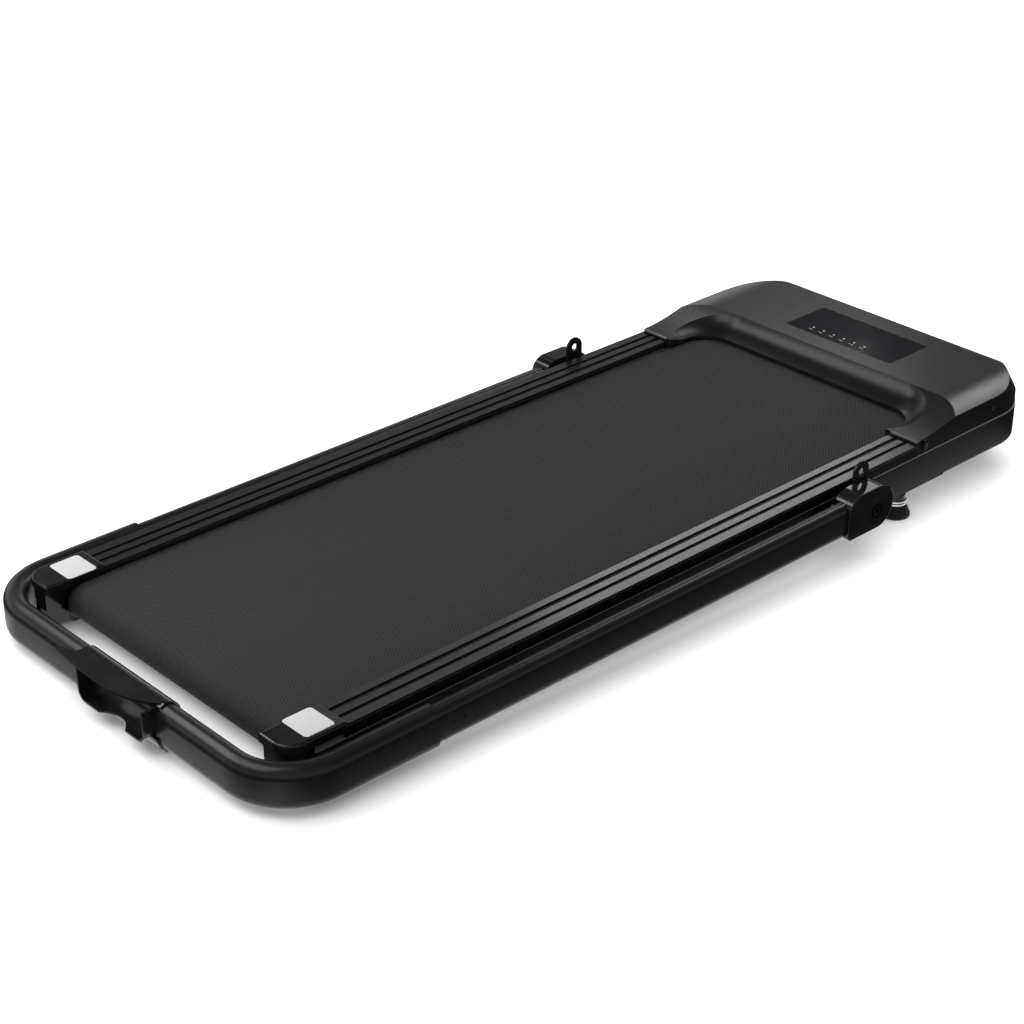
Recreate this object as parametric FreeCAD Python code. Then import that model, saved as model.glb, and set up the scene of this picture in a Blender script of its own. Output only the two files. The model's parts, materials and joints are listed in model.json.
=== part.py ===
import FreeCAD, Part
import math
import os

# Walking pad with a handrail that lies folded round the deck.
# Sizes are millimetres. The parts are drawn in the deck's own frame: X to the walker's right,
# Y towards the motor hood, Z up from the top of the side rails. The finished parts are then
# leaned back by the deck's slope, so that the rear pads and front feet stand on Z = 0.

# Walking belt, deck and rollers
BELT_W = 436.0
BELT_T = 1.6
BELT_TOP = -10.0
RUN_GAP = 0.3
REAR_AXIS_Y = -328.0
DRIVE_AXIS_Y = 830.0
ROLLER_R = 22.5
ROLLER_OVER = 2.0
ROLLER_L = BELT_W + 2 * ROLLER_OVER
ROLLER_WALL = 4.0
DECK_T = 15.0
DECK_OVER = 8.0
DECK_W = BELT_W + 2 * DECK_OVER
DECK_END_GAP = 10.0
CUSHION_R = 15.0
CUSHION_T = 5.0
CUSHION_EDGE = 36.0
CUSHION_X = DECK_W / 2 - CUSHION_EDGE
REAR_SHAFT_R = 7.5
DRIVE_SHAFT_R = 8.5
BEARING_W = 11.0
BEARING_R = 15.0
SPIN_GAP = 0.05
TENSION_BOLT_R = 4.0
TENSION_HEAD_R = 6.5
TENSION_HEAD_T = 6.0
TENSION_BOLT_L = 33.0

# Stance
SLOPE = 1.72
REAR_PAD_T = 7.0
REAR_PAD_W = 24.0
REAR_PAD_L = 40.0
REAR_PAD_AHEAD = 12.0
REAR_PAD_Y = REAR_AXIS_Y + REAR_PAD_AHEAD

# Side beams
BEAM_CLEAR = 8.0
BEAM_W = 30.0
BEAM_H = 50.0
BEAM_WALL = 2.0
BEAM_TOP = -17.5
BEAM_BEHIND = 12.0
BEAM_SHORT = 50.0
BEAM_IN = DECK_W / 2 + BEAM_CLEAR
BEAM_OUT = BEAM_IN + BEAM_W
BEAM_MID_X = BEAM_OUT - BEAM_W / 2
BEAM_REAR = REAR_AXIS_Y - BEAM_BEHIND
BEAM_FRONT = DRIVE_AXIS_Y - BEAM_SHORT
BEAM_BOTTOM = BEAM_TOP - BEAM_H
END_PLATE_T = 3.0
SHAFT_SHORT = 7.0
SHAFT_END_X = BEAM_OUT - SHAFT_SHORT

# Side rails
RAIL_COVER = 2.7
RAIL_SETBACK = 0.1
RAIL_IN = BELT_W / 2 - RAIL_COVER
RAIL_OUT = BEAM_OUT - RAIL_SETBACK
RAIL_WALL = 2.5
RAIL_GROOVE_D = 3.0
RAIL_GROOVES_AT = ((10.2, 18.2), (28.4, 34.9))
RAIL_GROOVES = tuple((RAIL_IN + a, RAIL_IN + b) for a, b in RAIL_GROOVES_AT)
RAIL_AHEAD = 28.0
RAIL_REAR = REAR_AXIS_Y + RAIL_AHEAD
RAIL_LIP_GAP = 1.0

# Hood, pan and console
HOOD_REACH = 115.0
HOOD_LEAD = 165.0
HOOD_CREST = 8.0
HOOD_LIP_BACK = 40.0
HOOD_ROLLER_BACK = 2.0
HOOD_REAR = DRIVE_AXIS_Y - HOOD_REACH
HOOD_FRONT = DRIVE_AXIS_Y + HOOD_LEAD
HOOD_TOP_REAR = DRIVE_AXIS_Y - HOOD_CREST
HOOD_MOUTH_Y = DRIVE_AXIS_Y - HOOD_LIP_BACK
HOOD_CAVITY_REAR = DRIVE_AXIS_Y - HOOD_ROLLER_BACK
HOOD_STEP = 1.0
HOOD_OUT = BEAM_OUT - HOOD_STEP
HOOD_TOP = 25.0
HOOD_ARM_TOP = 4.4
HOOD_SHOULDER_W = 50.0
HOOD_SHOULDER_DROP = 8.0
HOOD_NOSE = 20.0
HOOD_CORNER_R = 80.0
HOOD_CORNER_TOP_R = 112.0
HOOD_DRAFT_Z = 0.0
HOOD_WALL = 3.0
HOOD_MOUTH_IN = 12.0
HOOD_MOUTH_X = BELT_W / 2 - HOOD_MOUTH_IN
HOOD_MOUTH_R = 45.0
HOOD_LIP_Z = -3.0
SEAM_RISE = 0.5
SEAM_Z = BEAM_TOP + SEAM_RISE
SEAM_GAP = 0.3
PAN_DROP = 1.5
PAN_BOTTOM = BEAM_BOTTOM - PAN_DROP
PAN_WALL = 2.5
PAN_EDGE_R = 6.0
PAN_BOSS_R = 6.0
LENS_X = 100.0
LENS_AHEAD = (23.0, 112.0)
LENS_Y = (DRIVE_AXIS_Y + LENS_AHEAD[0], DRIVE_AXIS_Y + LENS_AHEAD[1])
LENS_R = 4.0
LENS_T = 1.6
DISPLAY_T = 1.6
DISPLAY_DROP = 4.0
DISPLAY_EDGE = 6.0
DISPLAY_POST_R = 3.0

# Cross members and motor tray
CROSS_W = 40.0
CROSS_H = 20.0
CROSS_FROM_ROLLER = 98.0
CROSS_FROM_HOOD = 35.0
CROSS_FIRST_Y = REAR_AXIS_Y + CROSS_FROM_ROLLER
CROSS_LAST_Y = HOOD_REAR - CROSS_FROM_HOOD
CROSS_YS = (CROSS_FIRST_Y, (CROSS_FIRST_Y + CROSS_LAST_Y) / 2, CROSS_LAST_Y)
TRAY_T = 2.5
TRAY_LEAD = 105.0
TRAY_REAR = HOOD_REAR
TRAY_FRONT = DRIVE_AXIS_Y + TRAY_LEAD
TRAY_BELOW_BELT = 3.2
TRAY_FLANGE_TOP = BEAM_TOP

# Motor, pulleys and drive belt
MOTOR_AHEAD = 95.0
MOTOR_Y = DRIVE_AXIS_Y + MOTOR_AHEAD
MOTOR_Z = -22.0
MOTOR_R = 36.0
MOTOR_CLEAR = 29.0
MOTOR_X0 = MOTOR_CLEAR - BEAM_IN
MOTOR_L = 150.0
MOTOR_SHAFT_R = 5.0
MOTOR_PULLEY_R = 14.0
DRIVE_PULLEY_R = 27.0
PULLEY_W = 15.0
PULLEY_GAP = 0.25
BEARING_END_X = BEAM_IN - TRAY_T / 2 + BEARING_W / 2
PULLEY_X0 = -BEARING_END_X - PULLEY_GAP - PULLEY_W
PULLEY_GROOVE_D = 1.5
DRIVE_BELT_T = 3.0
FAN_R = 30.0
FAN_W = 14.0
FAN_BLADES = 9
SADDLE_W = 110.0

# Controller
BOARD_X = (10.0, 170.0)
BOARD_AHEAD = (38.0, 100.0)
BOARD_Y = (DRIVE_AXIS_Y + BOARD_AHEAD[0], DRIVE_AXIS_Y + BOARD_AHEAD[1])
BOARD_T = 1.6
BOARD_STAND = 6.0
SINK_X = (30.0, 150.0)
SINK_AHEAD = (70.0, 98.0)
SINK_Y = (DRIVE_AXIS_Y + SINK_AHEAD[0], DRIVE_AXIS_Y + SINK_AHEAD[1])
SINK_H = 40.0
SINK_BASE = 5.0
SINK_FINS = 9
SINK_FIN_T = 2.0

# Power panel on the pan's front wall
POWER_Z = (SEAM_Z + PAN_BOTTOM) / 2
INLET_X = -60.0
INLET_W = 27.0
INLET_H = 20.0
INLET_DEPTH = 22.0
INLET_WALL = 2.0
BEZEL_T = 2.0
BEZEL_EDGE = 4.0
PIN_SIZE = (2.0, 4.0)
PIN_L = 14.0
PIN_PITCH = 7.0
SWITCH_X = 0.0
SWITCH_W = 20.0
SWITCH_H = 26.0
SWITCH_DEPTH = 16.0
SWITCH_WALL = 1.8
ROCKER_GAP = 0.5
ROCKER_PROUD = 3.0
ROCKER_TILT = 7.0
ROCKER_T = 6.0
BREAKER_X = 48.0
BREAKER_R = 8.0
BREAKER_DEPTH = 18.0
BUTTON_R = 5.0
BUTTON_PROUD = 5.0
BUTTON_L = 12.0
BUTTON_GAP = 0.3
BUTTON_ROUND = 0.25

# Handrail
LEG_W = 25.0
LEG_H = 50.0
LEG_WALL = 2.0
LEG_OFFSET = 26.6
LEG_X = BEAM_OUT + LEG_OFFSET
LEG_Z = -34.6
PIVOT_BACK = 138.0
PIVOT_Y = HOOD_REAR - PIVOT_BACK
LEG_PAST_PIVOT = 23.0
LEG_FRONT = PIVOT_Y + LEG_PAST_PIVOT
U_W = 30.0
U_H = 57.0
U_WALL = 2.5
U_BEHIND = 88.0
U_BAR_Y = REAR_AXIS_Y - U_BEHIND
U_ARM_L = 219.0
U_JOIN_Y = U_BAR_Y + U_ARM_L
U_BEND_R = 78.0
SPIGOT_L = 70.0
SPIGOT_GAP = 0.2
JOINT_BOLTS_AT = (23.0, 40.0)
JOINT_BOLT_YS = tuple(U_JOIN_Y + at for at in JOINT_BOLTS_AT)
JOINT_BOLT_R = 3.0
JOINT_HEAD_R = 6.0
JOINT_HEAD_T = 4.5

# Hinge
BRACKET_T = 3.0
BRACKET_GAP = 1.6
BRACKET_L = 66.0
BRACKET_LOW = 27.4
BRACKET_HIGH = 12.6
BRACKET_BOTTOM = LEG_Z - BRACKET_LOW
BRACKET_TOP = LEG_Z + BRACKET_HIGH
TAB_W = 30.0
TAB_HOLE_R = 5.75
LOCK_RADIUS = 47.0
NUT_R = 9.0
NUT_T = 8.0
PIVOT_R = 5.0
PIVOT_HEAD_R = 8.0
PIVOT_HEAD_T = 4.0
PIVOT_SOCKET_R = 4.0
BUSH_R = 8.0
WASHER_R = 13.0
COVER_WALL = 4.0
COVER_BACK = 57.0
COVER_LEAD = 3.0
COVER_HIGH = 35.6
COVER_REAR = PIVOT_Y - COVER_BACK
COVER_FRONT_Y = PIVOT_Y + COVER_LEAD
COVER_TOP = LEG_Z + COVER_HIGH
COVER_BOTTOM = BRACKET_BOTTOM
COVER_SHOULDER_R = 24.0
COVER_HEEL_R = 7.0
COVER_EDGE_R = 1.5
COVER_RECESS_R = 11.0
COVER_FIT = 0.2

# Tablet holder: pairs are a place along the bar and a reach behind the bar's face
HOLDER_X = (-76.0, 88.0)
HOLDER_WALL = 2.6
HOLDER_FIT = 0.2
HOLDER_SHELF_T = 3.0
HOLDER_TIP = (-104.0, 8.0)
HOLDER_CORNER = (-100.0, 14.0)
HOLDER_CREST = (10.0, 18.5)
HOLDER_TAIL = (84.0, -8.0)
HOLDER_POCKET_X = (-50.0, 84.0)
HOLDER_POCKET_OUT = 17.0
HOLDER_POCKET_T = 2.5
HOLDER_POCKET_R = 14.0
HOLDER_FLOOR_RISE = 13.5
HOLDER_NOTCH_AT = 18.0
HOLDER_NOTCH_HALF = 27.0
HOLDER_NOTCH_DEPTH = 12.0
HOLDER_FOOT = 2.0

# Rear caps
CAP_COVER = 4.0
CAP_PROUD = 1.0
CAP_BEHIND = 55.0
CAP_AHEAD = 32.0
CAP_IN = BELT_W / 2 - CAP_COVER
CAP_OUT = BEAM_OUT + CAP_PROUD
CAP_REAR = REAR_AXIS_Y - CAP_BEHIND
CAP_FRONT = REAR_AXIS_Y + CAP_AHEAD
CAP_TOP = 3.0
CAP_LID_T = 12.0
CAP_CORNER_R = 26.0
CAP_EDGE_R = 3.0
CAP_STEP = 1.5
CHEEK_GAP = 0.5
CHEEK_X = ROLLER_L / 2 + CHEEK_GAP
CHEEK_R = 27.0
CAP_SEAT_GAP = 0.3

# Front feet
FOOT_X = BEAM_MID_X
FOOT_BACK = 21.0
FOOT_Y = HOOD_REAR - FOOT_BACK
FOOT_BASE_R = 22.5
FOOT_WAIST_R = 15.5
FOOT_RIM_H = 5.0
FOOT_PAD_H = 19.0
FOOT_COLLAR_H = 15.0
FOOT_RING_R = 15.8
FOOT_RING_H = 2.0
FOOT_NECK_R = 14.0
FOOT_STUD_R = 5.0
FOOT_STUD_L = 18.0
FOOT_HOLE_GAP = 1.2
FOOT_NUT_R = 11.0
FOOT_NUT_T = 6.0

# Transport wheels
WHEEL_IN = 59.0
WHEEL_X = BEAM_IN - WHEEL_IN
WHEEL_AHEAD = 85.0
WHEEL_Y = DRIVE_AXIS_Y + WHEEL_AHEAD
WHEEL_R = 18.0
WHEEL_W = 20.0
WHEEL_EDGE_R = 3.0
AXLE_R = 4.0
FORK_T = 2.5
FORK_GAP = 1.5
FORK_REACH = 18.0
FORK_EAR_R = 9.0
WHEEL_WELL = 5.0

RIGHT = 1
LEFT = -1
SIDES = ((RIGHT, "right"), (LEFT, "left"))

# Places that follow from the sizes above
LOOP_IN_R = ROLLER_R + RUN_GAP
LOOP_OUT_R = LOOP_IN_R + BELT_T
AXIS_Z = BELT_TOP - LOOP_OUT_R
DECK_TOP = BELT_TOP - BELT_T - RUN_GAP
DECK_BOTTOM = DECK_TOP - DECK_T
CROSS_TOP = DECK_BOTTOM - CUSHION_T
TRAY_TOP = AXIS_Z - LOOP_OUT_R - TRAY_BELOW_BELT
TRAY_BOTTOM = TRAY_TOP - TRAY_T
WHEEL_Z = TRAY_BOTTOM - FORK_T - FORK_GAP - WHEEL_R
PIVOT_Z = LEG_Z
LEG_IN = LEG_X - LEG_W / 2
LEG_OUT = LEG_X + LEG_W / 2
BRACKET_OUT = LEG_IN - BRACKET_GAP
BRACKET_IN = BRACKET_OUT - BRACKET_T
COVER_OUT = LEG_OUT + COVER_WALL
U_OUT_Y = U_BAR_Y - U_W / 2
U_BOTTOM = LEG_Z - U_H / 2
U_TOP = LEG_Z + U_H / 2
FLOOR_AT_PAD = BEAM_BOTTOM - REAR_PAD_T
TILT = math.tan(math.radians(SLOPE))
LEAN = FreeCAD.Rotation(FreeCAD.Vector(1, 0, 0), SLOPE)


def vec(x, y, z):
    return FreeCAD.Vector(x, y, z)


def floor_z(y):
    """Height of the floor under a place along the deck, in the deck's frame."""
    return FLOOR_AT_PAD - (y - REAR_PAD_Y) * TILT


def to_floor_frame():
    """Placement that leans the deck back and stands it on the floor."""
    stand = LEAN.multVec(vec(0, REAR_PAD_Y, FLOOR_AT_PAD))
    shelf_edge = U_OUT_Y - HOLDER_FIT - HOLDER_CREST[1]
    rear = LEAN.multVec(vec(0, shelf_edge, U_TOP + HOLDER_WALL))
    button_edge = POWER_Z - BUTTON_R * (1 - BUTTON_ROUND)
    front = LEAN.multVec(vec(0, HOOD_FRONT + BEZEL_T + BUTTON_PROUD, button_edge))
    return FreeCAD.Placement(vec(0, -(rear.y + front.y) / 2, -stand.z), LEAN)


def box(x0, x1, y0, y1, z0, z1):
    return Part.makeBox(x1 - x0, y1 - y0, z1 - z0, vec(x0, y0, z0))


def rod_x(r, x0, x1, y, z):
    return Part.makeCylinder(r, x1 - x0, vec(x0, y, z), vec(1, 0, 0))


def rod_y(r, x, y0, y1, z):
    return Part.makeCylinder(r, y1 - y0, vec(x, y0, z), vec(0, 1, 0))


def rod_z(r, x, y, z0, z1):
    return Part.makeCylinder(r, z1 - z0, vec(x, y, z0), vec(0, 0, 1))


def hexagon_x(r, x0, x1, y, z):
    """Hexagonal bar along X, r to its corners."""
    turns = [math.radians(60 * i) for i in range(7)]
    ring = [vec(x0, y + r * math.cos(t), z + r * math.sin(t)) for t in turns]
    return Part.Face(Part.makePolygon(ring)).extrude(vec(x1 - x0, 0, 0))


def face_of(*edges):
    return Part.Face(Part.Wire(Part.__sortEdges__(list(edges))))


def line(a, b):
    return Part.makeLine(a, b)


def arc(a, b, c):
    return Part.Arc(a, b, c).toShape()


def polygon(points):
    return Part.Face(Part.makePolygon(points + points[:1]))


def stadium_yz(x, y, z, w, h):
    """Upright flat-oval face across X: w is its width along Y, h its height."""
    r = w / 2
    low, high = z - h / 2 + r, z + h / 2 - r
    return face_of(
        line(vec(x, y - r, low), vec(x, y - r, high)),
        arc(vec(x, y - r, high), vec(x, y, high + r), vec(x, y + r, high)),
        line(vec(x, y + r, high), vec(x, y + r, low)),
        arc(vec(x, y + r, low), vec(x, y, low - r), vec(x, y - r, low)),
    )


def stadium_xz(x, y, z, w, h):
    """Upright flat-oval face across Y: w is its width along X, h its height."""
    face = stadium_yz(0, 0, 0, w, h)
    face.rotate(vec(0, 0, 0), vec(0, 0, 1), -90)
    face.translate(vec(x, y, z))
    return face


def rounded_plan(x0, x1, y0, y1, z, rear_r, front_r):
    """Flat plan outline at height z, with its rear and front corners rounded."""
    plate = polygon([vec(x0, y0, z), vec(x1, y0, z), vec(x1, y1, z), vec(x0, y1, z)])
    solid = plate.extrude(vec(0, 0, 1))
    upright = [e for e in solid.Edges if abs(e.BoundBox.ZLength - 1) < 1e-6]
    for r, y in ((rear_r, y0), (front_r, y1)):
        if r > 0:
            upright = [e for e in solid.Edges if abs(e.BoundBox.ZLength - 1) < 1e-6]
            chosen = [e for e in upright if abs(e.BoundBox.YMin - y) < 1e-6]
            solid = solid.makeFillet(r, chosen)
    low = [f for f in solid.Faces if abs(f.BoundBox.ZMax - z) < 1e-6]
    return low[0]


def mirrored(shape):
    return shape.mirror(vec(0, 0, 0), vec(1, 0, 0))


def on_side(shape, side):
    """The shape as drawn for the right, or its mirror image for the left."""
    return shape if side == RIGHT else mirrored(shape)


def pair(shape):
    return Part.makeCompound([shape, mirrored(shape)])


def joined(first, *others):
    shape = first
    for other in others:
        shape = shape.fuse(other)
    return shape.removeSplitter()


def filleted(shape, r, chooser):
    chosen = [e for e in shape.Edges if chooser(e)]
    return shape.makeFillet(r, chosen)


def at_height(z):
    return lambda e: abs(e.BoundBox.ZMin - z) < 1e-4 and abs(e.BoundBox.ZMax - z) < 1e-4


def flat_in_x(x):
    return lambda e: abs(e.BoundBox.XMin - x) < 1e-4 and abs(e.BoundBox.XMax - x) < 1e-4


# Frame

def side_beam():
    """Rectangular steel tube with a welded end plate, slotted for the rear roller's shaft."""
    beam = box(BEAM_IN, BEAM_OUT, BEAM_REAR, BEAM_FRONT, BEAM_BOTTOM, BEAM_TOP)
    bore = box(BEAM_IN + BEAM_WALL, BEAM_OUT - BEAM_WALL, BEAM_REAR, BEAM_FRONT,
               BEAM_BOTTOM + BEAM_WALL, BEAM_TOP - BEAM_WALL)
    slot_r = REAR_SHAFT_R + SPIN_GAP
    slot = box(BEAM_IN, BEAM_IN + BEAM_WALL, BEAM_REAR, REAR_AXIS_Y,
               AXIS_Z - slot_r, AXIS_Z + slot_r)
    slot_end = rod_x(slot_r, BEAM_IN, BEAM_IN + BEAM_WALL, REAR_AXIS_Y, AXIS_Z)
    plate = box(BEAM_IN, BEAM_OUT, BEAM_REAR - END_PLATE_T, BEAM_REAR, BEAM_BOTTOM, BEAM_TOP)
    bolt_hole = rod_y(TENSION_BOLT_R + SPIN_GAP, BEAM_MID_X, BEAM_REAR - END_PLATE_T, BEAM_REAR,
                      AXIS_Z)
    foot_hole = rod_z(FOOT_STUD_R + FOOT_HOLE_GAP, FOOT_X, FOOT_Y, BEAM_BOTTOM,
                      BEAM_BOTTOM + BEAM_WALL)
    return joined(beam.cut(bore), plate).cut(slot).cut(slot_end).cut(bolt_hole).cut(foot_hole)


def cross_members():
    tubes = []
    for y in CROSS_YS:
        tube = box(-BEAM_IN, BEAM_IN, y - CROSS_W / 2, y + CROSS_W / 2,
                   CROSS_TOP - CROSS_H, CROSS_TOP)
        bore = box(-BEAM_IN, BEAM_IN, y - CROSS_W / 2 + BEAM_WALL, y + CROSS_W / 2 - BEAM_WALL,
                   CROSS_TOP - CROSS_H + BEAM_WALL, CROSS_TOP - BEAM_WALL)
        tubes.append(tube.cut(bore))
    return Part.makeCompound(tubes)


def motor_tray():
    """Folded sheet between the beams: a floor and two flanges that hold the drive roller."""
    floor = box(-BEAM_IN, BEAM_IN, TRAY_REAR, TRAY_FRONT, TRAY_BOTTOM, TRAY_TOP)
    flange = box(BEAM_IN - TRAY_T, BEAM_IN, TRAY_REAR, TRAY_FRONT + WHEEL_R, TRAY_BOTTOM,
                 TRAY_FLANGE_TOP)
    flange = filleted(flange, CROSS_H / 2, lambda e: e.BoundBox.XLength > TRAY_T / 2
                      and e.BoundBox.YMin > TRAY_FRONT and e.BoundBox.ZMin > TRAY_TOP)
    tray = joined(floor, flange, mirrored(flange))
    for x in (-BEAM_IN, BEAM_IN - TRAY_T):
        tray = tray.cut(rod_x(BEARING_R, x, x + TRAY_T, DRIVE_AXIS_Y, AXIS_Z))
    opening = rod_x(MOTOR_SHAFT_R + TRAY_T, -BEAM_IN, -BEAM_IN + TRAY_T, MOTOR_Y, MOTOR_Z)
    return tray.cut(opening)


def side_rail():
    """Foot rail: a top with three raised strips, an outer skirt and an inner lip."""
    lip_z = BELT_TOP + RAIL_LIP_GAP
    inner_top = -RAIL_GROOVE_D - RAIL_WALL
    seat_in = BEAM_IN + RAIL_WALL
    points = [vec(RAIL_IN, 0, lip_z), vec(RAIL_IN, 0, 0)]
    for x0, x1 in RAIL_GROOVES:
        points += [vec(x0, 0, 0), vec(x0, 0, -RAIL_GROOVE_D)]
        points += [vec(x1, 0, -RAIL_GROOVE_D), vec(x1, 0, 0)]
    points += [vec(RAIL_OUT, 0, 0), vec(RAIL_OUT, 0, BEAM_TOP)]
    points += [vec(RAIL_OUT - RAIL_WALL, 0, BEAM_TOP), vec(RAIL_OUT - RAIL_WALL, 0, inner_top)]
    points += [vec(seat_in + RAIL_WALL, 0, inner_top), vec(seat_in + RAIL_WALL, 0, BEAM_TOP)]
    points += [vec(seat_in, 0, BEAM_TOP), vec(seat_in, 0, inner_top)]
    points += [vec(RAIL_IN + RAIL_WALL, 0, inner_top), vec(RAIL_IN + RAIL_WALL, 0, lip_z)]
    for p in points:
        p.y = RAIL_REAR
    return polygon(points).extrude(vec(0, HOOD_REAR - RAIL_REAR, 0))


def running_deck():
    reach = ROLLER_R + DECK_END_GAP
    return box(-DECK_W / 2, DECK_W / 2, REAR_AXIS_Y + reach, DRIVE_AXIS_Y - reach,
               DECK_BOTTOM, DECK_TOP)


def deck_cushions():
    pads = []
    for y in CROSS_YS:
        for side in (RIGHT, LEFT):
            pads.append(rod_z(CUSHION_R, side * CUSHION_X, y, CROSS_TOP, DECK_BOTTOM))
    return Part.makeCompound(pads)


def rear_pad():
    """Rubber pad under the beam, cut level with the floor."""
    y0, y1 = REAR_PAD_Y - REAR_PAD_L / 2, REAR_PAD_Y + REAR_PAD_L / 2
    outline = [vec(0, y0, BEAM_BOTTOM), vec(0, y1, BEAM_BOTTOM),
               vec(0, y1, floor_z(y1)), vec(0, y0, floor_z(y0))]
    for p in outline:
        p.x = BEAM_MID_X - REAR_PAD_W / 2
    return polygon(outline).extrude(vec(REAR_PAD_W, 0, 0))


# Walking belt and rollers

def loop_face(x, y0, z0, r0, y1, z1, r1):
    """Face across X that two rounds and their two outer tangents bound."""
    gap = math.hypot(y1 - y0, z1 - z0)
    along = math.atan2(z1 - z0, y1 - y0)
    lead = math.acos((r0 - r1) / gap)

    def at(y, z, r, turn):
        return vec(x, y + r * math.cos(turn), z + r * math.sin(turn))

    upper, lower = along + lead, along - lead
    a0, b0 = at(y0, z0, r0, upper), at(y0, z0, r0, lower)
    a1, b1 = at(y1, z1, r1, upper), at(y1, z1, r1, lower)
    return face_of(
        line(a0, a1), arc(a1, at(y1, z1, r1, along), b1),
        line(b1, b0), arc(b0, at(y0, z0, r0, along + math.pi), a0),
    )


def walking_belt():
    sides = []
    for r in (LOOP_OUT_R, LOOP_IN_R):
        face = loop_face(-BELT_W / 2, REAR_AXIS_Y, AXIS_Z, r, DRIVE_AXIS_Y, AXIS_Z, r)
        sides.append(face.extrude(vec(BELT_W, 0, 0)))
    return sides[0].cut(sides[1])


def rear_roller_drum():
    half = ROLLER_L / 2
    drum = rod_x(ROLLER_R, -half, half, REAR_AXIS_Y, AXIS_Z)
    hollow = rod_x(REAR_SHAFT_R + SINK_BASE, BEARING_W - half, half - BEARING_W,
                   REAR_AXIS_Y, AXIS_Z)
    drum = drum.cut(hollow)
    for x in (-half, half - BEARING_W):
        drum = drum.cut(rod_x(BEARING_R, x, x + BEARING_W, REAR_AXIS_Y, AXIS_Z))
    return drum


def bearing(x, y, bore_r):
    """Ball bearing as one ring, with a shallow groove round each face for its shield."""
    ring = rod_x(BEARING_R, x, x + BEARING_W, y, AXIS_Z)
    mid_r = (BEARING_R + bore_r) / 2
    shield = rod_x(mid_r + 2, x, x + 0.5, y, AXIS_Z).cut(rod_x(mid_r - 2, x, x + 0.5, y, AXIS_Z))
    far = shield.translated(vec(BEARING_W - 0.5, 0, 0))
    return ring.cut(rod_x(bore_r, x, x + BEARING_W, y, AXIS_Z)).cut(shield).cut(far)


def rear_roller_bearings():
    half = ROLLER_L / 2
    bore = REAR_SHAFT_R + SPIN_GAP
    return Part.makeCompound([bearing(-half, REAR_AXIS_Y, bore),
                              bearing(half - BEARING_W, REAR_AXIS_Y, bore)])


def rear_roller_shaft():
    shaft = rod_x(REAR_SHAFT_R, -SHAFT_END_X, SHAFT_END_X, REAR_AXIS_Y, AXIS_Z)
    for side in (RIGHT, LEFT):
        hole = rod_y(TENSION_BOLT_R, side * BEAM_MID_X, REAR_AXIS_Y - ROLLER_R,
                     REAR_AXIS_Y + ROLLER_R, AXIS_Z)
        shaft = shaft.cut(hole)
    return shaft


def tension_bolt():
    """Hexagon bolt that pulls the rear roller's shaft back against the beam's end plate."""
    seat = BEAM_REAR - END_PLATE_T
    shank = rod_y(TENSION_BOLT_R, BEAM_MID_X, seat, seat + TENSION_BOLT_L, AXIS_Z)
    head = hexagon_x(TENSION_HEAD_R, 0, TENSION_HEAD_T, 0, 0)
    head.rotate(vec(0, 0, 0), vec(0, 0, 1), 90)
    head.translate(vec(BEAM_MID_X, seat - TENSION_HEAD_T, AXIS_Z))
    return joined(shank, head)


def drive_roller_drum():
    """Drum with webbed ends that are fixed to its shaft."""
    half = ROLLER_L / 2
    drum = rod_x(ROLLER_R, -half, half, DRIVE_AXIS_Y, AXIS_Z)
    hollow = rod_x(ROLLER_R - ROLLER_WALL, BEARING_W - half, half - BEARING_W,
                   DRIVE_AXIS_Y, AXIS_Z)
    return drum.cut(hollow).cut(rod_x(DRIVE_SHAFT_R, -half, half, DRIVE_AXIS_Y, AXIS_Z))


def drive_roller_shaft():
    return rod_x(DRIVE_SHAFT_R, PULLEY_X0, BEAM_IN + BEARING_W / 2, DRIVE_AXIS_Y, AXIS_Z)


def drive_bearings():
    bore = DRIVE_SHAFT_R + SPIN_GAP
    return Part.makeCompound([bearing(BEARING_END_X - BEARING_W, DRIVE_AXIS_Y, bore),
                              bearing(-BEARING_END_X, DRIVE_AXIS_Y, bore)])


def grooved_pulley(r, bore_r, y, z):
    """Ribbed pulley between two thin rims, turned from one profile."""
    ribs = 4
    rim = 2.0
    step = (PULLEY_W - 2 * rim) / (2 * ribs)
    outline = [vec(PULLEY_X0, y + bore_r, z), vec(PULLEY_X0, y + r + rim, z),
               vec(PULLEY_X0 + rim, y + r + rim, z), vec(PULLEY_X0 + rim, y + r, z)]
    for i in range(ribs):
        start = PULLEY_X0 + rim + 2 * i * step
        outline.append(vec(start + step, y + r - PULLEY_GROOVE_D, z))
        outline.append(vec(start + 2 * step, y + r, z))
    end = PULLEY_X0 + PULLEY_W
    outline += [vec(end - rim, y + r + rim, z), vec(end, y + r + rim, z), vec(end, y + bore_r, z)]
    return polygon(outline).revolve(vec(0, y, z), vec(1, 0, 0), 360)


def drive_pulley():
    return grooved_pulley(DRIVE_PULLEY_R, DRIVE_SHAFT_R, DRIVE_AXIS_Y, AXIS_Z)


def motor_pulley():
    return grooved_pulley(MOTOR_PULLEY_R, MOTOR_SHAFT_R, MOTOR_Y, MOTOR_Z)


def drive_belt():
    rim = 2.0 + RUN_GAP
    x = PULLEY_X0 + rim
    sides = []
    for grow in (RUN_GAP + DRIVE_BELT_T, RUN_GAP):
        face = loop_face(x, DRIVE_AXIS_Y, AXIS_Z, DRIVE_PULLEY_R + grow,
                         MOTOR_Y, MOTOR_Z, MOTOR_PULLEY_R + grow)
        sides.append(face.extrude(vec(PULLEY_W - 2 * rim, 0, 0)))
    return sides[0].cut(sides[1])


# Motor and controller

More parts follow.
